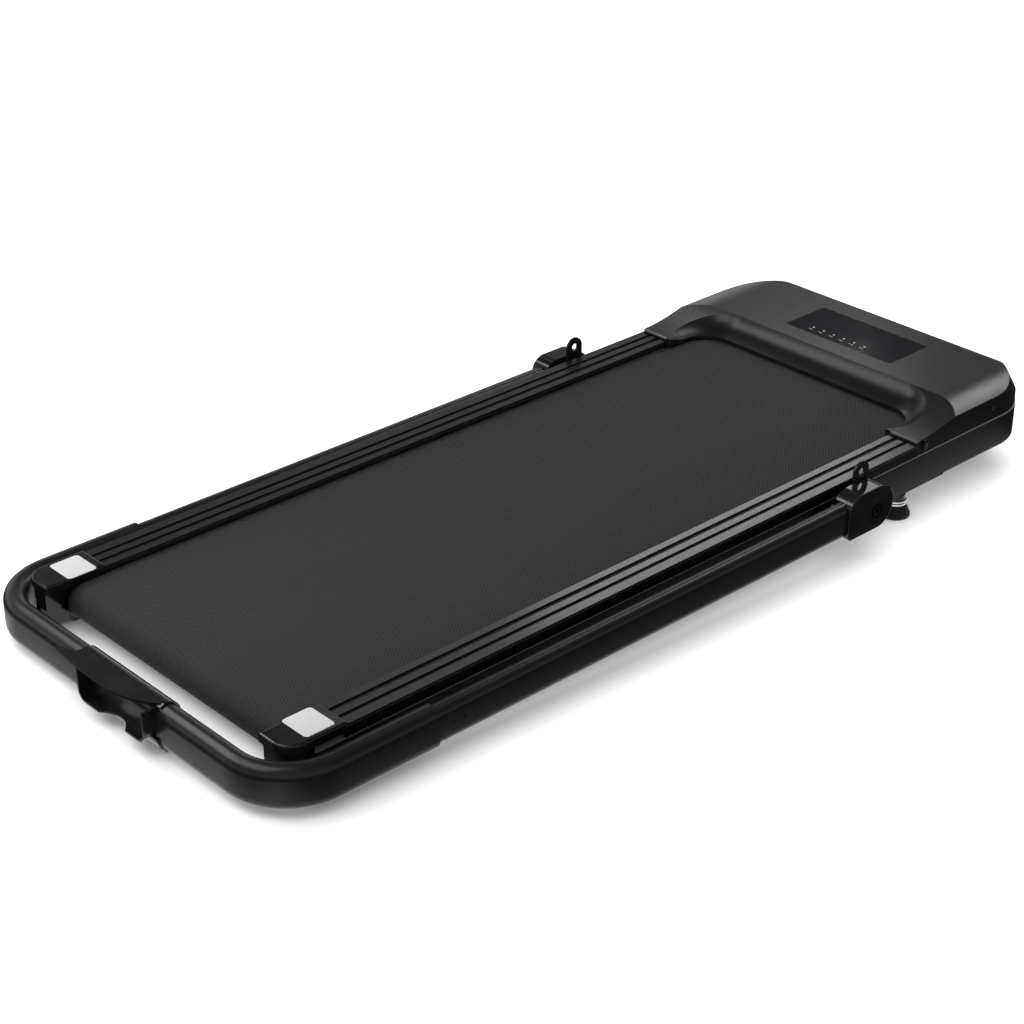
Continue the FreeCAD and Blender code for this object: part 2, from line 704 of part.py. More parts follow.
def motor_body():
    """Motor can with stepped end bells and a ring of slots for cooling air."""
    x0, x1 = MOTOR_X0, MOTOR_X0 + MOTOR_L
    step = 8.0
    can = rod_x(MOTOR_R, x0 + step, x1 - step, MOTOR_Y, MOTOR_Z)
    bells = rod_x(MOTOR_R - step / 2, x0, x1, MOTOR_Y, MOTOR_Z)
    body = joined(can, bells)
    slot_r, slots = MOTOR_R - step, 8
    for i in range(slots):
        turn = 2 * math.pi * i / slots
        y = MOTOR_Y + slot_r * math.cos(turn)
        z = MOTOR_Z + slot_r * math.sin(turn)
        body = body.cut(rod_x(step / 3, x1 - step, x1, y, z))
    return body.cut(rod_x(MOTOR_SHAFT_R + SPIN_GAP, x0, x1, MOTOR_Y, MOTOR_Z))


def motor_saddle():
    """Cradle on the tray's floor, hollowed to the motor's round."""
    mid = MOTOR_X0 + MOTOR_L / 2
    reach = MOTOR_R * 0.8
    block = box(mid - SADDLE_W / 2, mid + SADDLE_W / 2, MOTOR_Y - reach, TRAY_FRONT,
                TRAY_TOP, MOTOR_Z - MOTOR_R / 2)
    cradle = block.cut(rod_x(MOTOR_R, mid - SADDLE_W, mid + SADDLE_W, MOTOR_Y, MOTOR_Z))
    keep = box(mid - SADDLE_W, mid + SADDLE_W, MOTOR_Y - reach, MOTOR_Y - BELT_T, TRAY_TOP, 0)
    return cradle.common(keep)


def motor_shaft():
    return rod_x(MOTOR_SHAFT_R, PULLEY_X0, MOTOR_X0 + MOTOR_L + FAN_W + BELT_T, MOTOR_Y, MOTOR_Z)


def motor_fan():
    """Cooling fan: a hub with straight blades cut from a disc."""
    x0 = MOTOR_X0 + MOTOR_L + BELT_T
    web = 2.0
    hub_r = MOTOR_SHAFT_R + 2 * web
    hub = rod_x(hub_r, x0, x0 + FAN_W, MOTOR_Y, MOTOR_Z)
    disc = rod_x(FAN_R, x0, x0 + web, MOTOR_Y, MOTOR_Z)
    fan = joined(hub, disc)
    for i in range(FAN_BLADES):
        blade = box(x0, x0 + FAN_W, MOTOR_Y + hub_r - web, MOTOR_Y + FAN_R - web,
                    MOTOR_Z - web / 2, MOTOR_Z + web / 2)
        blade.rotate(vec(0, MOTOR_Y, MOTOR_Z), vec(1, 0, 0), 360 * i / FAN_BLADES)
        fan = fan.fuse(blade)
    return fan.removeSplitter().cut(rod_x(MOTOR_SHAFT_R, x0, x0 + FAN_W, MOTOR_Y, MOTOR_Z))


def controller_board():
    """Circuit board on four posts that stand on the tray."""
    low = TRAY_TOP + BOARD_STAND
    board = box(*BOARD_X, *BOARD_Y, low, low + BOARD_T)
    edge = 2 * DISPLAY_POST_R
    for x in (BOARD_X[0] + edge, BOARD_X[1] - edge):
        for y in (BOARD_Y[0] + edge, BOARD_Y[1] - edge):
            board = board.fuse(rod_z(DISPLAY_POST_R, x, y, TRAY_TOP, low))
    return board.removeSplitter()


def heat_sink():
    """Finned aluminium bar on the board."""
    low = TRAY_TOP + BOARD_STAND + BOARD_T
    sink = box(*SINK_X, *SINK_Y, low, low + SINK_BASE)
    pitch = (SINK_X[1] - SINK_X[0] - SINK_FIN_T) / (SINK_FINS - 1)
    for i in range(SINK_FINS):
        x = SINK_X[0] + i * pitch
        sink = sink.fuse(box(x, x + SINK_FIN_T, *SINK_Y, low, low + SINK_H))
    return sink.removeSplitter()


# Hood, pan and console

def hood_block(inset):
    """The hood's outer form, drawn in by an inset: three views meeting in one solid."""
    out, top = HOOD_OUT - inset, HOOD_TOP - inset
    front = HOOD_FRONT - HOOD_STEP - inset
    rear = HOOD_REAR
    round_x = HOOD_OUT - HOOD_SHOULDER_W
    drop = HOOD_SHOULDER_DROP
    shoulder_r = (HOOD_SHOULDER_W ** 2 + drop ** 2) / (2 * drop)
    round_z = HOOD_TOP - shoulder_r
    fall = math.asin((out - round_x) / (shoulder_r - inset))

    def across(x, z):
        return vec(x, rear, z)

    def shoulder(side, angle):
        reach = shoulder_r - inset
        return across(side * (round_x + reach * math.sin(angle)), round_z + reach * math.cos(angle))

    section = face_of(
        line(across(-out, SEAM_Z), shoulder(LEFT, fall)),
        arc(shoulder(LEFT, fall), shoulder(LEFT, fall / 2), shoulder(LEFT, 0)),
        line(shoulder(LEFT, 0), shoulder(RIGHT, 0)),
        arc(shoulder(RIGHT, 0), shoulder(RIGHT, fall / 2), shoulder(RIGHT, fall)),
        line(shoulder(RIGHT, fall), across(out, SEAM_Z)),
        line(across(out, SEAM_Z), across(-out, SEAM_Z)),
    ).extrude(vec(0, front - rear, 0))

    nose = HOOD_NOSE
    bow = nose * (1 - math.sqrt(0.5))
    ramp_y, ramp_z = (HOOD_REAR + HOOD_TOP_REAR) / 2, HOOD_ARM_TOP + (HOOD_TOP - HOOD_ARM_TOP) * 0.3

    def along(y, z):
        return vec(-out, y, z)

    profile = face_of(
        line(along(rear, SEAM_Z), along(rear, HOOD_ARM_TOP - inset)),
        arc(along(rear, HOOD_ARM_TOP - inset), along(ramp_y, ramp_z - inset),
            along(HOOD_TOP_REAR, top)),
        line(along(HOOD_TOP_REAR, top), along(front - nose, top)),
        arc(along(front - nose, top), along(front - bow, top - bow), along(front, top - nose)),
        line(along(front, top - nose), along(front, SEAM_Z)),
        line(along(front, SEAM_Z), along(rear, SEAM_Z)),
    ).extrude(vec(2 * out, 0, 0))

    def plan(z, r):
        return rounded_plan(-out, out, rear, front, z, 0, r - inset)

    upright = plan(SEAM_Z, HOOD_CORNER_R).extrude(vec(0, 0, HOOD_DRAFT_Z - SEAM_Z))
    if inset:
        upper = plan(HOOD_DRAFT_Z, HOOD_CORNER_TOP_R).extrude(vec(0, 0, HOOD_TOP - HOOD_DRAFT_Z))
    else:
        upper = Part.makeLoft([plan(HOOD_DRAFT_Z, HOOD_CORNER_R).OuterWire,
                               plan(HOOD_TOP, HOOD_CORNER_TOP_R).OuterWire], True, True)
    return section.common(profile).common(upright.fuse(upper))


def hood_scoop():
    """What is hollowed out of the slope above the lip, round the mouth's two corners."""
    depth = HOOD_TOP_REAR - HOOD_MOUTH_Y
    high = 2 * HOOD_TOP
    bend_x, bend_y = HOOD_MOUTH_X - HOOD_MOUTH_R, HOOD_MOUTH_Y - HOOD_MOUTH_R

    def ramp(x):
        lip = vec(x, HOOD_MOUTH_Y, HOOD_LIP_Z)
        crest = vec(x, HOOD_TOP_REAR, HOOD_TOP)
        mid = vec(x, HOOD_MOUTH_Y + depth * 0.56, HOOD_LIP_Z + (HOOD_TOP - HOOD_LIP_Z) * 0.36)
        high_crest = vec(x, HOOD_TOP_REAR, high)
        high_lip = vec(x, HOOD_MOUTH_Y, high)
        return face_of(arc(lip, mid, crest), line(crest, high_crest),
                       line(high_crest, high_lip), line(high_lip, lip))

    middle = ramp(-bend_x).extrude(vec(2 * bend_x, 0, 0))
    corner = ramp(bend_x).revolve(vec(bend_x, bend_y, 0), vec(0, 0, 1), -90)
    end = ramp(bend_x)
    end.rotate(vec(bend_x, bend_y, 0), vec(0, 0, 1), -90)
    rise = HOOD_ARM_TOP - HOOD_LIP_Z
    arm = end.extrude(vec(0, HOOD_REAR - bend_y, rise))
    cutter = middle
    for piece in (corner, mirrored(corner), arm, mirrored(arm)):
        cutter = cutter.fuse(piece)
    return cutter


def hood_cover():
    """Moulded hood: a slope scooped out round the belt's mouth, arms over the rail ends."""
    hood = hood_block(0).cut(hood_scoop())
    mouth = rounded_plan(-HOOD_MOUTH_X, HOOD_MOUTH_X, HOOD_REAR - HOOD_MOUTH_R, HOOD_MOUTH_Y,
                         SEAM_Z, 0, HOOD_MOUTH_R)
    hood = hood.cut(mouth.extrude(vec(0, 0, 2 * HOOD_TOP - SEAM_Z)))
    belt_way = max(BELT_W, DECK_W) / 2 + HOOD_WALL
    belt_roof = BELT_TOP + RAIL_LIP_GAP
    hood = hood.cut(box(-belt_way, belt_way, HOOD_REAR, HOOD_CAVITY_REAR, SEAM_Z, belt_roof))
    inside = hood_block(HOOD_WALL)
    rear_part = box(-HOOD_OUT, HOOD_OUT, HOOD_REAR, HOOD_CAVITY_REAR, SEAM_Z, HOOD_TOP)
    hood = hood.cut(inside.cut(rear_part))
    pulley_room = DRIVE_AXIS_Y - DRIVE_PULLEY_R - 2 * HOOD_WALL
    roof = AXIS_Z + DRIVE_PULLEY_R + 2 * HOOD_WALL
    for side in (RIGHT, LEFT):
        room = box(belt_way, HOOD_OUT - HOOD_WALL, pulley_room, HOOD_CAVITY_REAR, SEAM_Z, roof)
        hood = hood.cut(on_side(room, side))
    pocket = rounded_plan(-LENS_X, LENS_X, *LENS_Y, HOOD_TOP - LENS_T, LENS_R, LENS_R)
    hood = hood.cut(pocket.extrude(vec(0, 0, LENS_T)))
    low = HOOD_TOP - HOOD_WALL
    for x, y in display_posts():
        hood = hood.fuse(rod_z(DISPLAY_POST_R, x, y, low - DISPLAY_DROP, low))
    return hood.removeSplitter()


def display_posts():
    x = LENS_X - 2 * DISPLAY_EDGE
    return [(sx * x, y) for sx in (RIGHT, LEFT)
            for y in (LENS_Y[0] + 2 * DISPLAY_EDGE, LENS_Y[1] - 2 * DISPLAY_EDGE)]


def console_lens():
    lens = rounded_plan(-LENS_X + SPIN_GAP, LENS_X - SPIN_GAP, LENS_Y[0] + SPIN_GAP,
                        LENS_Y[1] - SPIN_GAP, HOOD_TOP - LENS_T, LENS_R, LENS_R)
    return lens.extrude(vec(0, 0, LENS_T))


def display_board():
    top = HOOD_TOP - HOOD_WALL - DISPLAY_DROP
    return box(-LENS_X + DISPLAY_EDGE, LENS_X - DISPLAY_EDGE, LENS_Y[0] + DISPLAY_EDGE,
               LENS_Y[1] - DISPLAY_EDGE, top - DISPLAY_T, top)


def bottom_pan():
    """Tray-shaped cover under the motor, open towards the beams, with bosses and wheel wells."""
    rear = BEAM_FRONT + SEAM_GAP
    top = SEAM_Z - SEAM_GAP
    plan = rounded_plan(-BEAM_OUT, BEAM_OUT, rear, HOOD_FRONT, PAN_BOTTOM, 0, HOOD_CORNER_R)
    pan = plan.extrude(vec(0, 0, top - PAN_BOTTOM))
    rim = [e for e in pan.Edges if at_height(PAN_BOTTOM)(e) and e.BoundBox.YMax > rear + 1]
    pan = pan.makeFillet(PAN_EDGE_R, rim)
    inner = rounded_plan(-BEAM_OUT + PAN_WALL, BEAM_OUT - PAN_WALL, rear, HOOD_FRONT - PAN_WALL,
                         PAN_BOTTOM + PAN_WALL, 0, HOOD_CORNER_R - PAN_WALL)
    inner = inner.extrude(vec(0, 0, top - PAN_BOTTOM))
    rim = [e for e in inner.Edges
           if at_height(PAN_BOTTOM + PAN_WALL)(e) and e.BoundBox.YMax > rear + 1]
    pan = pan.cut(inner.makeFillet(PAN_EDGE_R - PAN_WALL, rim))
    for side in (RIGHT, LEFT):
        for y in (rear + 3 * PAN_BOSS_R, TRAY_FRONT - 3 * PAN_BOSS_R):
            boss = rod_z(PAN_BOSS_R, side * BEAM_IN / 2, y, PAN_BOTTOM + PAN_WALL / 2, TRAY_BOTTOM)
            pan = pan.fuse(boss)
        half = WHEEL_W / 2 + FORK_GAP + FORK_T + WHEEL_WELL
        well = box(WHEEL_X - half, WHEEL_X + half, WHEEL_Y - FORK_REACH - WHEEL_WELL,
                   WHEEL_Y + FORK_REACH + WHEEL_WELL, PAN_BOTTOM, PAN_BOTTOM + PAN_WALL)
        pan = pan.cut(on_side(well, side))
    wall = (HOOD_FRONT - 2 * PAN_WALL, HOOD_FRONT)
    for x, w, h in ((INLET_X, INLET_W, INLET_H), (SWITCH_X, SWITCH_W, SWITCH_H)):
        pan = pan.cut(box(x - w / 2, x + w / 2, *wall, POWER_Z - h / 2, POWER_Z + h / 2))
    pan = pan.cut(rod_y(BREAKER_R, BREAKER_X, *wall, POWER_Z))
    return pan.removeSplitter()


# Power panel

def bezel_body(x, w, h, depth):
    """Socket body through the pan's wall, with a flat bezel outside it."""
    body = box(x - w / 2, x + w / 2, HOOD_FRONT - depth, HOOD_FRONT,
               POWER_Z - h / 2, POWER_Z + h / 2)
    bezel = box(x - w / 2 - BEZEL_EDGE, x + w / 2 + BEZEL_EDGE, HOOD_FRONT,
                HOOD_FRONT + BEZEL_T, POWER_Z - h / 2 - BEZEL_EDGE, POWER_Z + h / 2 + BEZEL_EDGE)
    corners = [e for e in bezel.Edges if abs(e.BoundBox.YLength - BEZEL_T) < 1e-6]
    return joined(body, bezel.makeFillet(BEZEL_EDGE * 0.6, corners))


def recess(x, w, h, wall, depth):
    half_w, half_h = w / 2 - wall, h / 2 - wall
    return box(x - half_w, x + half_w, HOOD_FRONT - depth + wall, HOOD_FRONT + BEZEL_T,
               POWER_Z - half_h, POWER_Z + half_h)


def power_inlet():
    """Appliance inlet: a socket with its two upper corners cut."""
    body = bezel_body(INLET_X, INLET_W, INLET_H, INLET_DEPTH)
    hollow = recess(INLET_X, INLET_W, INLET_H, INLET_WALL, INLET_DEPTH)
    top = hollow.BoundBox.ZMax
    corners = [e for e in hollow.Edges if e.BoundBox.YLength > INLET_DEPTH / 2
               and e.BoundBox.ZMin > top - 1e-6]
    return body.cut(hollow.makeChamfer(INLET_H / 5, corners))


def inlet_pins():
    seat = HOOD_FRONT - INLET_DEPTH + INLET_WALL
    w, h = PIN_SIZE
    pins = []
    for i in (-1, 0, 1):
        x = INLET_X + i * PIN_PITCH
        z = POWER_Z + (h / 2 if i == 0 else -h / 2)
        pins.append(box(x - w / 2, x + w / 2, seat, seat + PIN_L, z - h / 2, z + h / 2))
    return Part.makeCompound(pins)


def switch_housing():
    return bezel_body(SWITCH_X, SWITCH_W, SWITCH_H, SWITCH_DEPTH).cut(
        recess(SWITCH_X, SWITCH_W, SWITCH_H, SWITCH_WALL, SWITCH_DEPTH))


def rocker_axis_y():
    return HOOD_FRONT - ROCKER_T / 2


def power_rocker():
    """Rocker with a shallow vee face, rounded behind about the pin that it turns on."""
    gap = SWITCH_WALL + ROCKER_GAP
    half_w = SWITCH_W / 2 - gap
    half_h = SWITCH_H / 2 - gap - 1
    y = rocker_axis_y()
    face = HOOD_FRONT + BEZEL_T
    x0 = SWITCH_X - half_w
    outline = [vec(x0, y, POWER_Z - half_h), vec(x0, face + ROCKER_PROUD, POWER_Z - half_h + 1),
               vec(x0, face, POWER_Z), vec(x0, face + ROCKER_PROUD, POWER_Z + half_h - 1),
               vec(x0, y, POWER_Z + half_h)]
    body = polygon(outline).extrude(vec(2 * half_w, 0, 0))
    back = rod_x(half_h / 2, x0, x0 + 2 * half_w, y, POWER_Z)
    pin_r = 1.5
    pin = rod_x(pin_r, SWITCH_X - SWITCH_W / 2 + SWITCH_WALL + SPIN_GAP,
                SWITCH_X + SWITCH_W / 2 - SWITCH_WALL - SPIN_GAP, y, POWER_Z)
    rocker = joined(body, back, pin)
    rocker.rotate(vec(SWITCH_X, y, POWER_Z), vec(1, 0, 0), -ROCKER_TILT)
    return rocker


def breaker_body():
    tube = rod_y(BREAKER_R, BREAKER_X, HOOD_FRONT - BREAKER_DEPTH, HOOD_FRONT, POWER_Z)
    collar = rod_y(BREAKER_R + BEZEL_T, BREAKER_X, HOOD_FRONT, HOOD_FRONT + BEZEL_T, POWER_Z)
    bore = rod_y(BUTTON_R + BUTTON_GAP, BREAKER_X, HOOD_FRONT - BREAKER_DEPTH + BEZEL_T,
                 HOOD_FRONT + BEZEL_T, POWER_Z)
    return joined(tube, collar).cut(bore)


def reset_button():
    tip = HOOD_FRONT + BEZEL_T + BUTTON_PROUD
    button = rod_y(BUTTON_R, BREAKER_X, tip - BUTTON_L, tip, POWER_Z)
    return button.makeFillet(BUTTON_R * BUTTON_ROUND,
                             [e for e in button.Edges if e.BoundBox.YMin > tip - 1e-6])


# Hinge and handrail

def hinge_bracket():
    """Folded bracket welded to the beam, with the lock tab above it and a nut for the pivot."""
    y0, y1 = PIVOT_Y - BRACKET_L / 2, PIVOT_Y + BRACKET_L / 2
    plate = box(BRACKET_IN, BRACKET_OUT, y0, y1, BRACKET_BOTTOM, BRACKET_TOP)
    low = box(BEAM_OUT, BRACKET_OUT, y0, y1, BRACKET_BOTTOM, BRACKET_BOTTOM + BRACKET_T)
    high = box(BEAM_OUT, BRACKET_OUT, y0, y1, BRACKET_TOP - BRACKET_T, BRACKET_TOP)
    hole_z = PIVOT_Z + LOCK_RADIUS
    tab = box(BRACKET_IN, BRACKET_OUT, PIVOT_Y - TAB_W / 2, PIVOT_Y + TAB_W / 2,
              BRACKET_TOP - BRACKET_T, hole_z)
    crown = rod_x(TAB_W / 2, BRACKET_IN, BRACKET_OUT, PIVOT_Y, hole_z)
    nut = hexagon_x(NUT_R, BRACKET_IN - NUT_T, BRACKET_IN, PIVOT_Y, PIVOT_Z)
    bracket = joined(plate, low, high, tab, crown, nut)
    bracket = bracket.cut(rod_x(TAB_HOLE_R, BRACKET_IN, BRACKET_OUT, PIVOT_Y, hole_z))
    return bracket.cut(rod_x(PIVOT_R, BRACKET_IN - NUT_T, BRACKET_OUT, PIVOT_Y, PIVOT_Z))


def pivot_bolt():
    """Shouldered bolt with a hexagon socket in its head."""
    tip, seat = BRACKET_IN - NUT_T, LEG_OUT + COVER_FIT
    shank = rod_x(PIVOT_R, tip, seat, PIVOT_Y, PIVOT_Z)
    head = rod_x(PIVOT_HEAD_R, seat, seat + PIVOT_HEAD_T, PIVOT_Y, PIVOT_Z)
    socket = hexagon_x(PIVOT_SOCKET_R, seat + PIVOT_HEAD_T / 3, seat + PIVOT_HEAD_T, PIVOT_Y, PIVOT_Z)
    return joined(shank, head).cut(socket)


def pivot_washer():
    ring = rod_x(WASHER_R, BRACKET_OUT, LEG_IN - 2 * SPIN_GAP, PIVOT_Y, PIVOT_Z)
    return ring.cut(rod_x(PIVOT_R + SPIN_GAP, BRACKET_OUT, LEG_IN, PIVOT_Y, PIVOT_Z))


def leg_bush():
    ring = rod_x(BUSH_R, LEG_IN, LEG_OUT, PIVOT_Y, PIVOT_Z)
    return ring.cut(rod_x(PIVOT_R + SPIN_GAP, LEG_IN, LEG_OUT, PIVOT_Y, PIVOT_Z))


def handrail_leg(side):
    """Flat-oval tube from the hinge back to the U-shaped bar."""
    length = vec(0, LEG_FRONT - U_JOIN_Y, 0)
    tube = stadium_xz(LEG_X, U_JOIN_Y, LEG_Z, LEG_W, LEG_H).extrude(length)
    bore = stadium_xz(LEG_X, U_JOIN_Y, LEG_Z, LEG_W - 2 * LEG_WALL, LEG_H - 2 * LEG_WALL)
    leg = tube.cut(bore.extrude(length))
    leg = leg.cut(rod_x(BUSH_R, LEG_IN, LEG_OUT, PIVOT_Y, PIVOT_Z))
    leg = leg.cut(rod_x(TAB_HOLE_R, LEG_IN, LEG_X, PIVOT_Y - LOCK_RADIUS, LEG_Z))
    for y in JOINT_BOLT_YS:
        leg = leg.cut(rod_x(JOINT_BOLT_R, LEG_IN, LEG_OUT, y, LEG_Z))
    return on_side(leg, side)


def u_run(w, h):
    """Solid of a flat-oval section led round the U."""
    bend_y = U_BAR_Y + U_BEND_R
    bend_x = LEG_X - U_BEND_R
    arm = stadium_xz(LEG_X, bend_y, LEG_Z, w, h).extrude(vec(0, U_JOIN_Y - bend_y, 0))
    corner = stadium_xz(LEG_X, bend_y, LEG_Z, w, h)
    corner = corner.revolve(vec(bend_x, bend_y, LEG_Z), vec(0, 0, 1), -90)
    bar = stadium_yz(-bend_x, U_BAR_Y, LEG_Z, w, h).extrude(vec(2 * bend_x, 0, 0))
    return joined(bar, corner, mirrored(corner), arm, mirrored(arm))


def handrail_u_tube():
    """The U-shaped bar, with a spigot at each end that enters the leg."""
    tube = u_run(U_W, U_H).cut(u_run(U_W - 2 * U_WALL, U_H - 2 * U_WALL))
    slack = 2 * (LEG_WALL + SPIGOT_GAP)
    w, h = LEG_W - slack, LEG_H - slack
    hold = 2 * U_WALL
    plug = stadium_xz(LEG_X, U_JOIN_Y - hold, LEG_Z, U_W - 2 * U_WALL, U_H - 2 * U_WALL)
    plug = plug.extrude(vec(0, hold, 0))
    spigot = stadium_xz(LEG_X, U_JOIN_Y, LEG_Z, w, h).extrude(vec(0, SPIGOT_L, 0))
    spigot = joined(plug, spigot)
    hollow = stadium_xz(LEG_X, U_JOIN_Y - hold, LEG_Z, w - 2 * LEG_WALL, h - 2 * LEG_WALL)
    spigot = spigot.cut(hollow.extrude(vec(0, SPIGOT_L + hold, 0)))
    for y in JOINT_BOLT_YS:
        spigot = spigot.cut(rod_x(JOINT_BOLT_R, LEG_IN, LEG_OUT, y, LEG_Z))
    return joined(tube, spigot, mirrored(spigot))


def leg_joint_bolts():
    """Bolts that hold the legs on the spigots, all put in from the left."""
    bolts = []
    for x in (LEG_X, -LEG_X):
        for y in JOINT_BOLT_YS:
            x0 = x - LEG_W / 2
            shank = rod_x(JOINT_BOLT_R, x0, x + LEG_W / 2, y, LEG_Z)
            head = rod_x(JOINT_HEAD_R, x0 - JOINT_HEAD_T, x0, y, LEG_Z)
            head = filleted(head, JOINT_HEAD_T / 2, flat_in_x(x0 - JOINT_HEAD_T))
            bolts.append(joined(shank, head))
    return Part.makeCompound(bolts)


def hinge_cover():
    """Moulded cover on the leg's front end, open towards the bracket."""
    def at(y, z):
        return vec(LEG_IN, y, z)

    front_r = (COVER_TOP - COVER_BOTTOM) / 2
    mid_z = COVER_BOTTOM + front_r
    s, h = COVER_SHOULDER_R, COVER_HEEL_R
    k = 1 - math.sqrt(0.5)
    outline = face_of(
        line(at(COVER_FRONT_Y, COVER_BOTTOM), at(COVER_REAR + h, COVER_BOTTOM)),
        arc(at(COVER_REAR + h, COVER_BOTTOM), at(COVER_REAR + h * k, COVER_BOTTOM + h * k),
            at(COVER_REAR, COVER_BOTTOM + h)),
        line(at(COVER_REAR, COVER_BOTTOM + h), at(COVER_REAR, COVER_TOP - s)),
        arc(at(COVER_REAR, COVER_TOP - s), at(COVER_REAR + s * k, COVER_TOP - s * k),
            at(COVER_REAR + s, COVER_TOP)),
        line(at(COVER_REAR + s, COVER_TOP), at(COVER_FRONT_Y, COVER_TOP)),
        arc(at(COVER_FRONT_Y, COVER_TOP), at(COVER_FRONT_Y + front_r, mid_z),
            at(COVER_FRONT_Y, COVER_BOTTOM)),
    )
    cover = outline.extrude(vec(COVER_OUT - LEG_IN, 0, 0))
    cover = filleted(cover, COVER_EDGE_R, flat_in_x(COVER_OUT))
    fit = 2 * COVER_FIT
    pocket = stadium_xz(LEG_X, COVER_REAR - LEG_W, LEG_Z, LEG_W + fit, LEG_H + fit)
    pocket = pocket.extrude(vec(0, LEG_FRONT + COVER_FIT - COVER_REAR + LEG_W, 0))
    side = box(LEG_IN - 1, LEG_X, COVER_REAR - 1, LEG_FRONT + COVER_FIT,
               LEG_Z - LEG_H / 2 - COVER_FIT, LEG_Z + LEG_H / 2 + COVER_FIT)
    recess_hole = rod_x(COVER_RECESS_R, LEG_X, COVER_OUT, PIVOT_Y, PIVOT_Z)
    return cover.cut(pocket).cut(side).cut(recess_hole)


def tablet_holder():
    """Clip-on holder for a tablet: a saddle on the bar, a winged shelf, a pocket with a notch."""
    x0, x1 = HOLDER_X
    grow = 2 * HOLDER_FIT
    outer = stadium_yz(x0, U_BAR_Y, LEG_Z, U_W + grow + 2 * HOLDER_WALL,
                       U_H + grow + 2 * HOLDER_WALL).extrude(vec(x1 - x0, 0, 0))
    bar = stadium_yz(2 * x0, U_BAR_Y, LEG_Z, U_W + grow, U_H + grow)
    bar = bar.extrude(vec(2 * (x1 - x0), 0, 0))
    face = U_OUT_Y - HOLDER_FIT
    shelf_top = U_TOP + HOLDER_WALL
    shelf_low = shelf_top - HOLDER_SHELF_T
    floor_low = U_BOTTOM + HOLDER_FLOOR_RISE
    floor_top = floor_low + HOLDER_POCKET_T
    saddle = outer.cut(box(x0, x1, face - U_W, U_BAR_Y, floor_top, shelf_low))

    def at(place):
        return vec(place[0], face - place[1], shelf_low)

    root, end = vec(x0, U_BAR_Y, shelf_low), vec(HOLDER_TAIL[0], U_BAR_Y, shelf_low)
    wing = vec(x0, face, shelf_low)
    shelf = face_of(
        line(root, wing), line(wing, at(HOLDER_TIP)), line(at(HOLDER_TIP), at(HOLDER_CORNER)),
        arc(at(HOLDER_CORNER), at(holder_easing(HOLDER_CORNER)), at(HOLDER_CREST)),
        arc(at(HOLDER_CREST), at(holder_easing(HOLDER_TAIL)), at(HOLDER_TAIL)),
        line(at(HOLDER_TAIL), end), line(end, root),
    ).extrude(vec(0, 0, HOLDER_SHELF_T))
    pocket = holder_pocket(0, floor_low, shelf_low).cut(
        holder_pocket(HOLDER_POCKET_T, floor_low, shelf_low + HOLDER_SHELF_T))
    notch_r = (HOLDER_NOTCH_HALF ** 2 + HOLDER_NOTCH_DEPTH ** 2) / (2 * HOLDER_NOTCH_DEPTH)
    notch_y = face - HOLDER_POCKET_OUT - notch_r + HOLDER_NOTCH_DEPTH
    pocket = pocket.cut(rod_z(notch_r, HOLDER_NOTCH_AT, notch_y, floor_low, floor_top))
    foot = box(x0, x1, U_BAR_Y - U_W / 4, U_BAR_Y + U_W / 4,
               U_BOTTOM - HOLDER_FIT - HOLDER_WALL - HOLDER_FOOT, U_BOTTOM)
    return joined(saddle, shelf, pocket, foot).cut(bar)


def holder_easing(end):
    """Middle of an arc that leaves the shelf's crest along the bar and runs to a place."""
    along, drop = end[0] - HOLDER_CREST[0], HOLDER_CREST[1] - end[1]
    r = (along ** 2 + drop ** 2) / (2 * drop)
    half = math.asin(along / r) / 2
    return (HOLDER_CREST[0] + r * math.sin(half), HOLDER_CREST[1] - r * (1 - math.cos(half)))


def holder_pocket(inset, low, high):
    """Block of the pocket behind the bar, drawn in by an inset, with rounded lower corners."""
    x0, x1 = HOLDER_POCKET_X
    r = HOLDER_POCKET_R
    rear = U_OUT_Y - HOLDER_FIT - HOLDER_POCKET_OUT
    block = box(x0 + inset, x1 - inset, rear, U_BAR_Y, low + inset, high)
    return filleted(block, r - inset, lambda e: e.BoundBox.YLength > U_W / 2
                    and e.BoundBox.ZMax < low + inset + 1e-4)


# Rear caps

